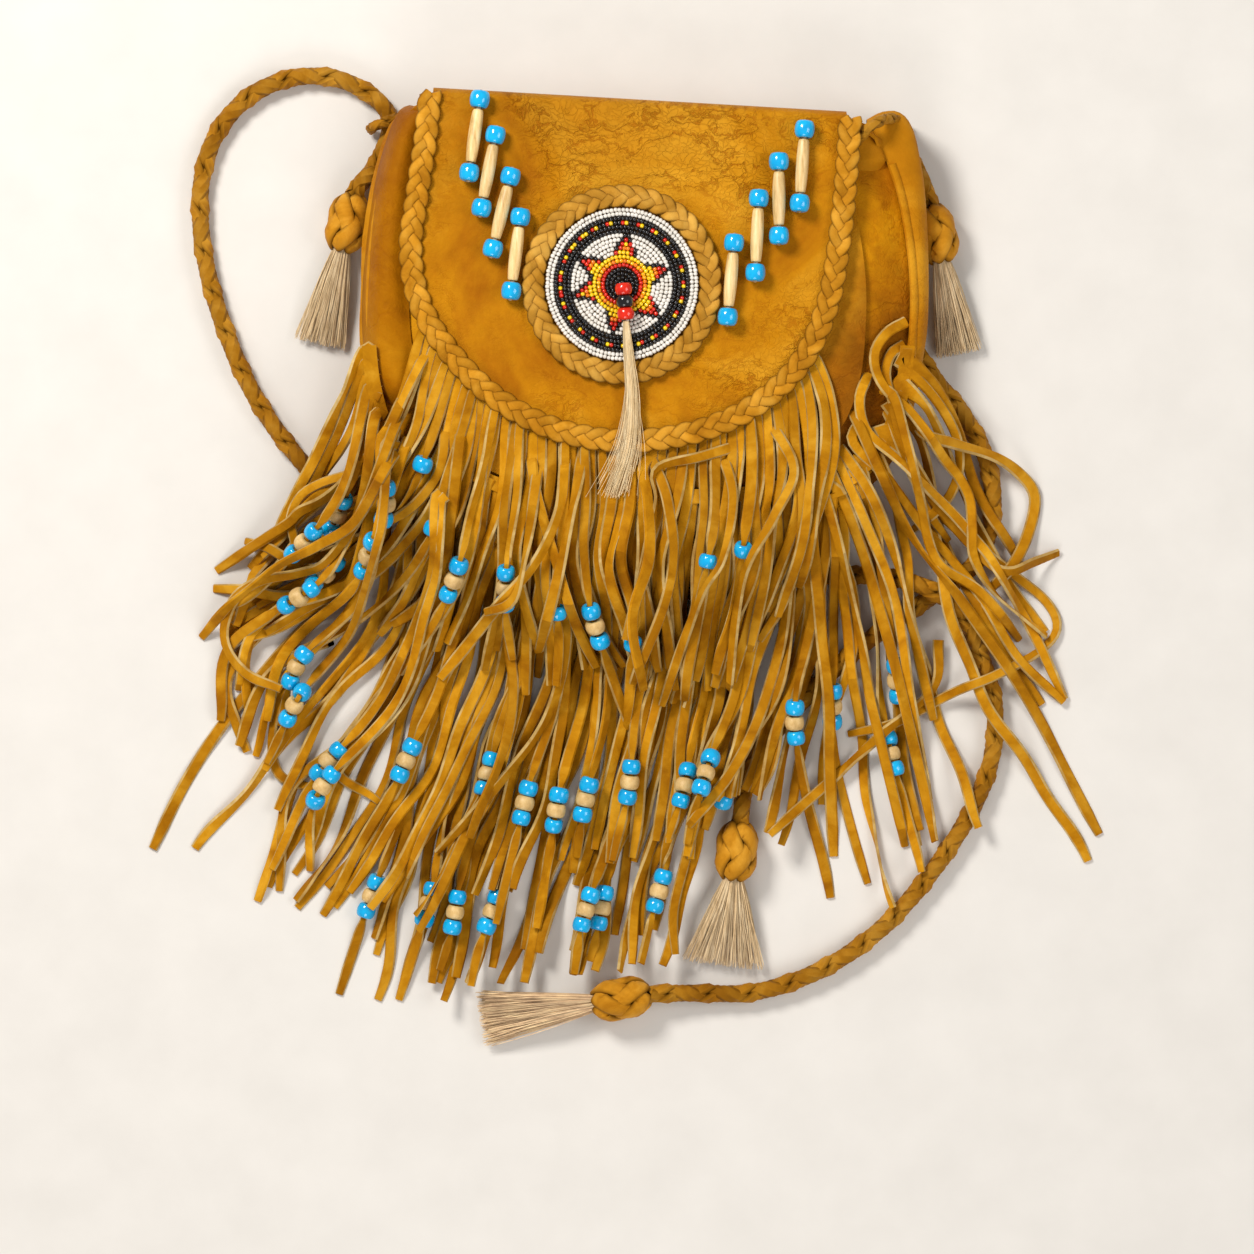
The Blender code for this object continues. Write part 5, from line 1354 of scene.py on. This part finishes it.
class Pile:
    """Heights of what lies on the table so far, on a square grid, so that strips can lie on it."""

    def __init__(self):
        gx, gy = np.meshgrid(*(GRID_LOW[k] + CELL * np.arange(GRID_SHAPE[k]) for k in (0, 1)), indexing="ij")
        self.height = np.zeros(GRID_SHAPE)
        for dx in (-2.0, 0, 2.0):
            for dy in (-2.0, 0, 2.0):
                self.height = np.maximum(self.height, pouch_top(gx + dx, gy + dy))
        self.discs = {}

    def cells(self, point, reach_out):
        key = round(reach_out * 2)
        if key not in self.discs:
            n = int(reach_out / CELL) + 1
            dx, dy = np.meshgrid(np.arange(-n, n + 1), np.arange(-n, n + 1), indexing="ij")
            inside = np.hypot(dx, dy) * CELL <= max(reach_out, 0.5 * CELL)
            self.discs[key] = (dx[inside], dy[inside])
        dx, dy = self.discs[key]
        i, j = np.round((np.asarray(point[:2]) - GRID_LOW) / CELL).astype(int)
        return (np.clip(i + dx, 0, GRID_SHAPE[0] - 1), np.clip(j + dy, 0, GRID_SHAPE[1] - 1))

    def highest(self, point, reach_out):
        return float(self.height[self.cells(point, reach_out)].max())

    def stamp(self, point, reach_out, top):
        where = self.cells(point, reach_out)
        self.height[where] = np.maximum(self.height[where], top)

    def ease(self, slope):
        """Let every height fall away no steeper than a slope, as leather hangs from an edge."""
        drop = slope * CELL
        for _ in range(int(HANG_REACH / CELL)):
            h = self.height
            h[1:] = np.maximum(h[1:], h[:-1] - drop)
            h[:-1] = np.maximum(h[:-1], h[1:] - drop)
            h[:, 1:] = np.maximum(h[:, 1:], h[:, :-1] - drop)
            h[:, :-1] = np.maximum(h[:, :-1], h[:, 1:] - drop)


def wave(rng, run, size):
    """Sideways sway along a strip, none at its root."""
    total = np.zeros_like(run)
    for length, share in ((125.0, 1.0), (58.0, 0.32)):
        length *= rng.uniform(0.8, 1.25)
        total += share * rng.uniform(0.5, 1.0) * np.sin(2 * math.pi * run / length + rng.uniform(0, 6.3))
    return size * (total - total[0]) * np.clip(run / 60.0, 0, 1)


def strip_line(points, rng, sway):
    """Plan line of a strip through its points, with its sway."""
    line = even(smooth_curve(points, 120), STATION)
    run = run_of(line)
    along = drawn_along(line)
    side = np.column_stack([-along[:, 1], along[:, 0]])
    return even(line + side * wave(rng, run, sway)[:, None], STATION)


def through(line, point):
    """Bend a strip's line so that it passes a point."""
    away = np.linalg.norm(line - point, axis=1)
    k = int(np.argmin(away))
    if k >= len(line) - 9:
        more = line[-1] + unit(line[-1] - line[-4]) * STATION * np.arange(1, 13)[:, None]
        line = np.vstack([line, more])
    run = run_of(line)
    share = np.clip(run / max(run[k], 1.0), 0, 1)
    ease = share * share * (3 - 2 * share)
    return line + (point - line[k]) * ease[:, None], run[k]


class Fringe:
    """Strips cut from one header, laid one by one on the pile, with their beads."""

    def __init__(self, name, pile, body, seed, lumps):
        self.name, self.pile, self.body = name, pile, body
        self.lumps = lumps
        self.rng = random.Random(seed)
        self.form, self.blue, self.wood = Form(), Form(), Form()

    def short_of_knots(self, line):
        """Cut a strip's line off where it would cover a knot or its tassel."""
        for middle, along, tip, width in self.lumps:
            foot = (middle - along * KNOT_LENGTH / 2)[:2]
            way = tip[:2] - foot
            share = np.clip((line - foot) @ way / (way @ way), 0, 1)
            reach_out = np.maximum(KNOT_RADIUS, width / 2 * share) + 3.0
            inside = np.linalg.norm(line - foot - share[:, None] * way, axis=1) < reach_out
            if inside.any():
                line = line[:max(int(np.argmax(inside)), 1)]
        return line

    def lay(self, line, root_half, root_level=None, bead_at=None, pattern="bwb"):
        rng, pile = self.rng, self.pile
        line = self.short_of_knots(line)
        if len(line) < 6:
            return
        run = run_of(line)
        total = run[-1]
        half = STRIP_HALF * rng.uniform(0.86, 1.08)
        halves = half + (root_half - half) * np.clip(1 - run / 18.0, 0, 1)
        halves *= 1 - 0.25 * np.clip((run - total + 12.0) / 12.0, 0, 1)
        clear = np.full(len(run), STRIP_THICK)
        reach_out = np.where(run < 20.0, 1.0, 0.8 * halves)
        if bead_at is not None:
            span = len(pattern) * 7.2
            low, high = bead_at - span / 2, bead_at + span / 2
            inside = (run > low - 1.5) & (run < high + 1.5)
            near = np.clip(1 - np.maximum(low - run, run - high) / 7.0, 0, 1)
            halves = halves * (1 - near) + 1.25 * near
            clear = np.where(inside, CROW_BEAD_RADIUS * 0.96, clear)
            reach_out = np.where(inside, CROW_BEAD_RADIUS * 0.8, reach_out)
        tilt = np.zeros(len(run))
        for _ in range(3):
            centre, wide = rng.uniform(0.1, 1.0) * total, rng.uniform(14.0, 34.0)
            tilt += rng.choice((-1, 1)) * rng.uniform(0.25, 0.95) * np.exp(-((run - centre) / wide) ** 2)
        tilt *= np.clip(run / 25.0, 0, 1)
        if bead_at is not None:
            tilt *= 1 - near
        rise = clear + halves * np.abs(np.sin(tilt)) * 0.55
        need = np.array([pile.highest(p, r) for p, r in zip(line, reach_out)]) + rise + 0.05
        z = need.copy()
        if root_level is not None:
            z[0] = root_level
            z[1] = max(root_level - 0.4, z[1] - 2.5)
            need[1] = z[1]
        for _ in range(16):
            z[1:-1] = np.maximum(need[1:-1], (z[:-2] + z[2:]) / 2)
        for p, r, top in zip(line, reach_out, z + clear):
            pile.stamp(p, r, top)
        spine = np.column_stack([line, z])
        along = drawn_along(spine)
        side = sideways(along)
        over = np.cross(side, along)
        across = side * np.cos(tilt)[:, None] + over * np.sin(tilt)[:, None]
        normal = over * np.cos(tilt)[:, None] - side * np.sin(tilt)[:, None]
        rows = [spine + across * (a * halves)[:, None] + normal * (b * STRIP_THICK) for a, b in RIBBON]
        rows = np.stack(rows, axis=1)
        rows[..., 2] = np.maximum(rows[..., 2], 0.15)
        self.form.grid(rows, rng.choice(RIBBON_SLOTS), tone=rng.uniform(*self.tones))
        if bead_at is None:
            return
        for k, kind in enumerate(pattern):
            at = bead_at + (k - (len(pattern) - 1) / 2) * 7.25
            centre = np.array([np.interp(at, run, spine[:, i]) for i in range(3)])
            way = np.array([np.interp(at, run, along[:, i]) for i in range(3)])
            size = rng.uniform(0.94, 1.04)
            bead_form(self.blue if kind == "b" else self.wood, centre, way, CROW_BEAD_RADIUS * size * 0.98,
                      (7.0 if kind == "b" else 6.6) * size, CROW_BEAD_HOLE, 20, rng.uniform(0.7, 1.0))

    def finish(self, node_name, header_line=None, header_level=None, width=HEADER_WIDTH):
        if header_line is not None:
            line = np.asarray(header_line)
            along = drawn_along(line)
            out = np.column_stack([along[:, 1], -along[:, 0]])
            rows = []
            for share in np.linspace(-0.35, 1.0, 7):
                ring = line + out * (width * share)
                rows.append([(x, y, header_level(x, y)) for x, y in ring])
            self.form.plate(np.array(rows).transpose(1, 0, 2), 1.3, 0, 1, tone=0.6)
        piece(self.form, f"{self.name}_leather", [FRINGE, PALE_EDGE], self.body, (node_name,),
              30.0)
        if self.blue.count:
            piece(self.blue, f"{self.name}_blue_beads", [BLUE_GLASS], self.body, ())
        if self.wood.count:
            piece(self.wood, f"{self.name}_wood_beads", [WOOD], self.body, ())


def best_position(point, header, guides):
    """Where on a header a strip starts that passes a point, as a share of its length."""
    best = (1e9, 0.5)
    for u in np.linspace(0.02, 0.98, 49):
        start = header[int(u * (len(header) - 1))]
        shape = blend_guides(guides, u * (len(guides) - 1))
        line = smooth_curve(start + shape, 60)
        away = float(np.linalg.norm(line - point, axis=1).min())
        if away < best[0]:
            best = (away, u)
    return best[1]


def strip_set(fringe, header, guides, count, beads, loops, level, jitter, sway, tones=(0.35, 1.0)):
    """Strips of a header: the plain ones in mixed order, then the beaded ones and the loops."""
    rng = fringe.rng
    fringe.tones = tones
    header = even(smooth_curve(header, 300), 1.0)
    pitch = run_of(header)[-1] / count if count else 2 * STRIP_HALF
    jobs = []
    for number in range(count):
        u = (number + 0.5) / count
        jobs.append((u, None))
    rng.shuffle(jobs)
    jobs += [(best_position(np.array(from_photo(*px)), header, guides), (np.array(from_photo(*px)), pattern))
             for px, pattern in beads]
    for u, bead in jobs:
        k = min(int(u * (len(header) - 1)), len(header) - 2)
        start = header[k]
        along = unit(header[k + 1] - header[k])
        out = np.array([along[1], -along[0]])
        mixed_u = float(np.clip(u + rng.gauss(0, jitter), 0, 1)) if bead is None else u
        shape = blend_guides(guides, mixed_u * (len(guides) - 1)) * rng.uniform(0.88, 1.06)
        points = np.vstack([start, start + out * 5.0, start + out * 3.0 + shape[1:]])
        line = strip_line(points, rng, sway if bead is None else sway * 0.5)
        where = None
        if bead is not None:
            line, where = through(line, bead[0])
        fringe.lay(line, pitch / 2 - 0.12, level(*start), where, bead[1] if bead else "bwb")
    for loop in loops:
        line = strip_line([from_photo(*p) for p in loop], rng, 0.6)
        fringe.lay(line, STRIP_HALF, fringe.pile.highest(line[0], 1.0) - 4.0)


BEADS_LEFT = [((388, 508), "bwb"), ((339, 514), "bwb"), ((303, 545), "bwb"), ((370, 557), "bwb"),
              ((322, 577), "bwb"), ((300, 597), "bwb"), ((296, 666), "bwb"), ((293, 707), "bwb"),
              ((325, 765), "bwb"), ((322, 787), "bwb")]
BEADS_FLAP = [((434, 531), "b"), ((455, 581), "bwb"), ((506, 590), "bwb"), ((595, 625), "bwb"),
              ((633, 646), "b"),
              ((742, 551), "b"), ((707, 562), "b"), ((558, 616), "b"), ((425, 465), "b")]
BEADS_FRONT = [((405, 762), "bwb"), ((487, 776), "bwb"), ((525, 801), "bwb"), ((556, 811), "bwb"),
               ((585, 802), "bwb"), ((630, 781), "bwb"), ((685, 784), "bwb"), ((706, 771), "bwb")]
BEADS_BACK = [((371, 895), "bwb"), ((428, 906), "bwb"), ((455, 911), "bwb"), ((491, 914), "bwb"),
              ((602, 907), "bwb"), ((585, 912), "bwb"), ((660, 890), "bwb"), ((693, 877), "bwb")]
BEADS_RIGHT = [((795, 728), "bwb"), ((833, 708), "bwb"), ((898, 682), "bwb"), ((893, 757), "bwb")]

LOOPS_RIGHT = [
    [(885, 410), (915, 480), (960, 530), (1010, 570), (1048, 600), (1060, 628), (1042, 652), (1000, 676),
     (960, 692), (900, 722), (850, 735)],
    [(940, 640), (935, 688), (880, 735), (820, 790), (765, 839)],
    [(806, 470), (812, 540), (820, 620), (829, 720), (836, 858)],
    [(815, 468), (835, 540), (860, 640), (880, 740), (905, 848)],
    [(833, 455), (862, 520), (895, 600), (912, 700), (930, 801)],
    [(824, 462), (850, 520), (880, 600), (905, 700), (937, 842)],
    [(838, 448), (872, 500), (900, 570), (917, 640), (936, 720)],
    [(903, 346), (889, 356), (884, 378), (893, 410), (905, 448), (915, 483), (926, 507), (950, 540)],
    [(893, 363), (910, 375), (931, 396), (948, 419), (959, 443), (961, 471), (952, 495), (938, 511),
     (915, 530)],
    [(900, 400), (922, 434), (950, 443), (995, 457), (1023, 476), (1036, 497), (1030, 530), (1014, 563),
     (990, 590)],
    [(890, 395), (900, 440), (935, 500), (985, 560), (1010, 572), (1035, 562), (1061, 551)],
    [(867, 375), (858, 401), (865, 431), (891, 457), (919, 483), (952, 514), (976, 540), (995, 563),
     (1032, 628),
     (1067, 700)],
    [(856, 427), (850, 440), (860, 455), (882, 476), (905, 504), (929, 533), (952, 559), (985, 600),
     (1020, 660),
     (1066, 703)],
    [(905, 323), (886, 334), (873, 353), (874, 375), (886, 396), (905, 412), (924, 434), (943, 460),
     (959, 478),
     (970, 500), (972, 530), (975, 560), (1000, 600), (1048, 637)],
    [(850, 410), (900, 520), (960, 600), (1012, 675), (1060, 755), (1102, 836)],
    [(880, 390), (892, 400), (905, 448), (918, 500), (938, 560), (980, 590), (1022, 640)],
]
LOOPS_FRONT = [
    [(350, 590), (290, 640), (230, 710), (185, 780), (149, 850)],
    [(400, 600), (340, 680), (300, 760), (275, 840), (256, 903)],
    [(300, 600), (252, 640), (226, 682), (236, 725), (246, 752)],
    [(330, 640), (300, 655), (280, 690), (268, 740), (277, 778), (317, 792)],
    [(790, 530), (786, 620), (766, 700), (732, 770), (690, 826)],
    [(560, 560), (566, 640), (548, 712), (505, 778), (436, 852)],
    [(500, 540), (505, 620), (512, 690), (500, 760), (470, 838)],
]
LOOPS_LEFT = [
    [(405, 400), (385, 440), (350, 480), (322, 500), (299, 511), (287, 523), (250, 547), (214, 571)],
    [(400, 420), (370, 500), (330, 560), (300, 575), (261, 582), (235, 598), (223, 627), (227, 652),
     (247, 676),
     (280, 690)],
    [(410, 440), (380, 520), (340, 585), (284, 596), (249, 590), (211, 587)],
    [(400, 450), (360, 520), (320, 546), (280, 565), (256, 582), (225, 608), (199, 638)],
    [(398, 430), (372, 520), (355, 577), (336, 589), (308, 598), (278, 605)],
]
LOOPS_FLAP = [
    [(531, 452), (536, 490), (551, 551), (572, 615), (597, 667)],
    [(583, 455), (575, 500), (560, 571), (538, 650)],
    [(648, 452), (668, 505), (672, 584), (634, 684)],
    [(770, 425), (792, 472), (770, 520), (741, 577), (729, 689)],
    [(566, 458), (560, 510), (538, 560), (498, 610), (440, 679)],
    [(722, 455), (732, 500), (722, 560), (700, 600), (662, 706)],
    [(430, 350), (408, 395), (388, 440), (376, 466), (353, 476), (322, 485), (301, 497), (291, 518),
     (294, 539),
     (297, 560)],
    [(447, 425), (443, 466), (426, 495), (402, 516), (355, 539), (322, 556), (291, 561), (266, 548),
     (243, 541)],
    [(463, 430), (455, 500), (450, 528), (445, 556), (426, 598), (402, 618), (392, 624)],
    [(540, 462), (530, 532), (520, 580), (509, 603), (486, 611)],
    [(738, 447), (700, 458), (662, 466), (652, 478), (656, 500), (650, 540), (640, 590), (625, 640)],
    [(655, 452), (643, 470), (648, 500), (650, 560), (635, 620), (645, 690)],
]


def build_fringes(lines, lumps, margins):
    pile = Pile()
    for point in margins:
        pile.stamp(point, 1.5, point[2] + 0.3)
    for middle, along, tip, width in lumps:
        for share in np.linspace(-0.5, 0.5, 8):
            pile.stamp(middle + along * KNOT_LENGTH * share, KNOT_RADIUS * 0.9, 2 * KNOT_RADIUS)
        foot = middle + along * KNOT_LENGTH / 2
        for share in np.linspace(0, 1, 16):
            pile.stamp(foot * (1 - share) + tip * share, 4.0 + share * (width / 2 - 4.0),
                       2 * KNOT_RADIUS - 5.0)
    for line in lines:
        for point in even(line, 3.0):
            pile.stamp(point, CORD_DIAMETER / 2, point[2] + CORD_DIAMETER / 2)
    pile.ease(HANG_SLOPE)

    def over_pouch(x, y):
        return pile.highest((x, y), 2.0) + 0.9

    back = Fringe("fringe_back", pile, "bag", 11, lumps)
    header = outline_stretch(1.008, 228, 312)
    # The back fringe's tones run low, 0.1 to 0.7: painted shade, as it lies under the other strips
    strip_set(back, header, BACK_FRINGE_GUIDES, 34, BEADS_BACK, [], lambda x, y: 24.0, 0.03, 3.5, (0.1, 0.7))
    back.finish("back_fringe", even(header, 3.0), lambda x, y: 24.0)
    front = Fringe("fringe_front", pile, "bag", 3, lumps)
    header = outline_stretch(0.815, 216, 322, 80)
    level = over_levels(pile, header)
    strip_set(front, header, FRONT_FRINGE_GUIDES, 38, BEADS_FRONT, LOOPS_FRONT, over_pouch, 0.03, 3.2,
              (0.25, 0.9))
    front.finish("front_fringe", header, level)
    right = Fringe("fringe_right", pile, "bag", 9, lumps)
    header = list(reversed(outline_stretch(0.955, 316, 354, 40)))
    level = over_levels(pile, header)
    strip_set(right, header, RIGHT_FRINGE_GUIDES, 7, BEADS_RIGHT, LOOPS_RIGHT, over_pouch, 0.05, 3.0)
    right.finish("side_fringe_right", header, level)
    left = Fringe("fringe_left", pile, "bag", 5, lumps)
    left_header = outline_stretch(0.955, 186, 226, 40)
    left_level = over_levels(pile, left_header)
    strip_set(left, left_header, LEFT_FRINGE_GUIDES, 14, [], [], over_pouch, 0.06, 4.5)
    edge = flap_edge_line(200)
    out = []
    for k in range(50, 152, 3):
        along = unit(edge[k + 1] - edge[k - 1])
        out.append(tuple(edge[k] + np.array([along[1], -along[0]]) * 0.5))
    flap = Fringe("fringe_flap", pile, "flap", 21, lumps)

    def at_flap(x, y):
        inward = unit(FLAP_MIDDLE - (x, y)) * 2.0
        return max(float(flap_under(x + inward[0], y + inward[1])) + 0.6, pile.highest((x, y), 1.5) + 0.8)

    level = over_levels(pile, out, at_flap)
    strip_set(flap, out, FLAP_FRINGE_GUIDES, 47, BEADS_FLAP, LOOPS_FLAP, at_flap, 0.018, 3.0)
    flap.finish("flap_fringe", out, level)
    strip_set(left, left_header, LEFT_FRINGE_GUIDES, 0, [], LOOPS_LEFT[::2], over_pouch, 0.06, 3.0)
    strip_set(left, left_header, LEFT_FRINGE_GUIDES, 0, BEADS_LEFT, LOOPS_LEFT[1::2], over_pouch, 0.06, 3.0)
    left.finish("side_fringe_left", left_header, left_level)
    return pile


def over_levels(pile, header, level=None):
    """Smooth heights for a header, read before its strips lie there."""
    line = even(header, 4.0)
    if level is None:
        heights = np.array([pile.highest(p, 4.0) + 0.9 for p in line])
    else:
        heights = np.array([level(*p) for p in line])
    for _ in range(4):
        heights[1:-1] = (heights[:-2] + 2 * heights[1:-1] + heights[2:]) / 4

    def found(x, y):
        k = int(np.argmin(np.linalg.norm(line - (x, y), axis=1)))
        return float(heights[k]) + 0.5
    return found


def build_drop_hair(pile):
    """Lock of horsehair from the lowest drop bead, over the beadwork, the braids and the fringe."""
    line = even(smooth_curve([from_photo(*p) for p in DROP_HAIR_PX], 60), 3.0)
    braid = even(flap_edge_line(200), 3.0)
    for point in braid:
        pile.stamp(point, BRAID_WIDTH / 2, flap_top(*point) + BRAID_THICKNESS)
    for point in circle(ROSETTE_CENTRE, RING_RADIUS, 100):
        pile.stamp(point, BRAID_WIDTH / 2, ROSETTE_BASE + BRAID_THICKNESS)
    pile.stamp(ROSETTE_CENTRE, ROSETTE_RADIUS, ROSETTE_BASE + BACKING_THICKNESS + ROSETTE_THICKNESS + 0.4)
    need = np.array([max(pile.highest(p, 3.0), flap_top(*p) if p[1] > -60 else 0.0) + 1.0 for p in line])
    z = need.copy()
    z[0] = ROSETTE_BASE + BACKING_THICKNESS + ROSETTE_THICKNESS + GAP + DROP_BEAD_RADIUS
    for _ in range(14):
        z[1:-1] = np.maximum(need[1:-1], (z[:-2] + z[2:]) / 2)
    spine = np.column_stack([line, z])
    run = run_of(spine)
    rng = random.Random(77)
    form = Form()
    side = np.array([1.0, 0, 0])
    for _ in range(210):
        out = rng.gauss(0, 0.42)
        up = rng.uniform(0, 1)
        reach_out = rng.uniform(0.72, 1.0) if rng.random() < 0.6 else rng.uniform(0.9, 1.0)
        stray = rng.gauss(0, 1.0) if rng.random() < 0.12 else 0.0
        s = np.linspace(0, run[-1] * reach_out, 14)
        share = s / run[-1]
        path = np.stack([np.interp(s, run, spine[:, k]) for k in range(3)], axis=-1)
        spread = 1.3 + 4.2 * share ** 0.8
        path = path + side * (out * spread + stray * 7.0 * share ** 2)[:, None]
        path[:, 2] += up * (1.6 - 0.4 * share) + 0.3 * np.sin(share * 5 + out)
        width = 0.22 * (1 - 0.5 * share)[:, None]
        single_hair(form, path, width, (0.0, 2.1, 4.2), float(np.clip(rng.gauss(0.75, 0.2), 0, 1)))
    piece(form, "horsehair_drop", [HAIR_PALE], "flap", ("drop_hair",))


# Materials of the pieces

# Browns mixed in by deepened: painted shade on the front and the gusset, a stain on the flap
DEEP_BROWN, WARM_BROWN = (0.13, 0.032, 0.001), (0.30, 0.09, 0.002)
GOLD_DARK, GOLD, GOLD_LIGHT = (0.34, 0.105, 0.002), (0.51, 0.205, 0.004), (0.66, 0.315, 0.018)
LEATHER_FLAP = leather("flap_buckskin", GOLD_DARK, GOLD, GOLD_LIGHT, 14.0, 0.8, 400.0, 0.4,
                       deepens=((-0.35, 1.0, 0.0), 0.030, 0.130, 0.4))
# Its darkening towards the lower right is painted shade, where the front lies in shadow
LEATHER_TAN = leather("front_buckskin", GOLD_DARK, GOLD, GOLD_LIGHT, 15.0, 0.4, 300.0, 0.35,
                      deepens=((0.75, -0.65, 0.0), 0.056, 0.088, 0.9))
# Its darkening towards the lower right is painted shade on the gusset's side
LEATHER_GUSSET_SHADED = leather("gusset_buckskin", (0.42, 0.145, 0.002), (0.60, 0.25, 0.003), (0.74, 0.36, 0.010),
                       24.0,
                       0.5, 260.0, 0.4, deepens=((0.75, -0.65, 0.0), 0.066, 0.104, 0.95))
# A darker copy of the margin leather, for the left margin: painted shade
LEATHER_MARGIN_SHADED = leather("side_buckskin", (0.27, 0.080, 0.001), (0.385, 0.138, 0.001), (0.49, 0.205, 0.004),
                       18.0,
                       0.3, 280.0, 0.35)
LEATHER_MARGIN = leather("back_buckskin", (0.38, 0.135, 0.003), (0.50, 0.20, 0.005), (0.62, 0.29, 0.016),
                         18.0,
                         0.3, 280.0, 0.35)
# The braids' wide tone range carries the painted shade at the lace edges and in the dark cores
BRAID = leather("braid_buckskin", (0.35, 0.135, 0.006), (0.48, 0.205, 0.012), (0.60, 0.29, 0.03), 60.0,
                grain=0.3, tone_range=0.85)
BRAID_PALE = leather("ring_buckskin", (0.35, 0.155, 0.014), (0.47, 0.23, 0.03), (0.60, 0.33, 0.06), 60.0,
                     grain=0.3, tone_range=0.85)
FRINGE = leather("fringe_buckskin", (0.34, 0.125, 0.002), (0.50, 0.215, 0.005), (0.66, 0.33, 0.02), 45.0,
                 grain=0.35, tone_range=0.45)
PALE_EDGE = leather("cut_edge", (0.36, 0.21, 0.06), (0.50, 0.34, 0.12), (0.63, 0.47, 0.21), 90.0, grain=0.3,
                    tone_range=0.2)
BLUE_GLASS = glass("blue_glass", (0.0, 0.46, 0.88), (0.0, 0.37, 0.78))
SEED = {
    "white": glass("white_glass", (0.90, 0.86, 0.80), (0.80, 0.76, 0.69), 0.28),
    "black": glass("black_glass", (0.010, 0.010, 0.012), (0.004, 0.004, 0.005), 0.14),
    "red": glass("red_glass", (0.76, 0.020, 0.003), (0.55, 0.008, 0.002), 0.2),
    "yellow": glass("yellow_glass", (1.0, 0.72, 0.008), (0.92, 0.58, 0.003), 0.22),
    "orange": glass("orange_glass", (0.92, 0.25, 0.004), (0.80, 0.16, 0.002), 0.22),
    "amber": glass("amber_glass", (1.0, 0.52, 0.004), (0.94, 0.40, 0.002), 0.22),
}
BONE = streaked("bone", (0.44, 0.26, 0.08), (0.78, 0.53, 0.22), (0.92, 0.70, 0.37), (400.0, 40.0, 400.0),
                0.42)
WOOD = streaked("pale_wood", (0.48, 0.30, 0.10), (0.64, 0.42, 0.16), (0.74, 0.54, 0.25),
                (260.0, 200.0, 260.0), 0.5)
THONG = leather("thong", (0.25, 0.20, 0.14), (0.45, 0.38, 0.28), (0.62, 0.55, 0.44), 200.0, grain=0.3)
BACKING = leather("beadwork_backing", (0.20, 0.13, 0.08), (0.36, 0.26, 0.17), (0.50, 0.40, 0.28), 120.0)
HAIR_TONES = ((0.47, 0.31, 0.145), (0.70, 0.51, 0.28), (0.88, 0.70, 0.44))
HAIR = streaked("horsehair", *HAIR_TONES, (400.0, 90.0, 400.0), 0.45)
HAIR_ACROSS = streaked("horsehair_end", *((1.12 * r, 1.08 * g, g * 0.62) for r, g, _ in HAIR_TONES),
                       (90.0, 400.0, 400.0), 0.45)
HAIR_PALE = streaked("horsehair_pale", (0.60, 0.43, 0.21), (0.76, 0.58, 0.33), (0.86, 0.72, 0.47),
                     (400.0, 90.0, 400.0), 0.45)


def main():
    studio()
    lines, lumps = build_cords()
    build_keepers()
    build_back()
    build_gusset_leather()
    build_piping()
    margins = build_shoulders()
    build_front()
    build_flap()
    build_fold()
    build_flap_braids()
    build_rosette()
    build_drop()
    build_pipes()
    pile = build_fringes(lines, lumps, margins)
    build_drop_hair(pile)


main()
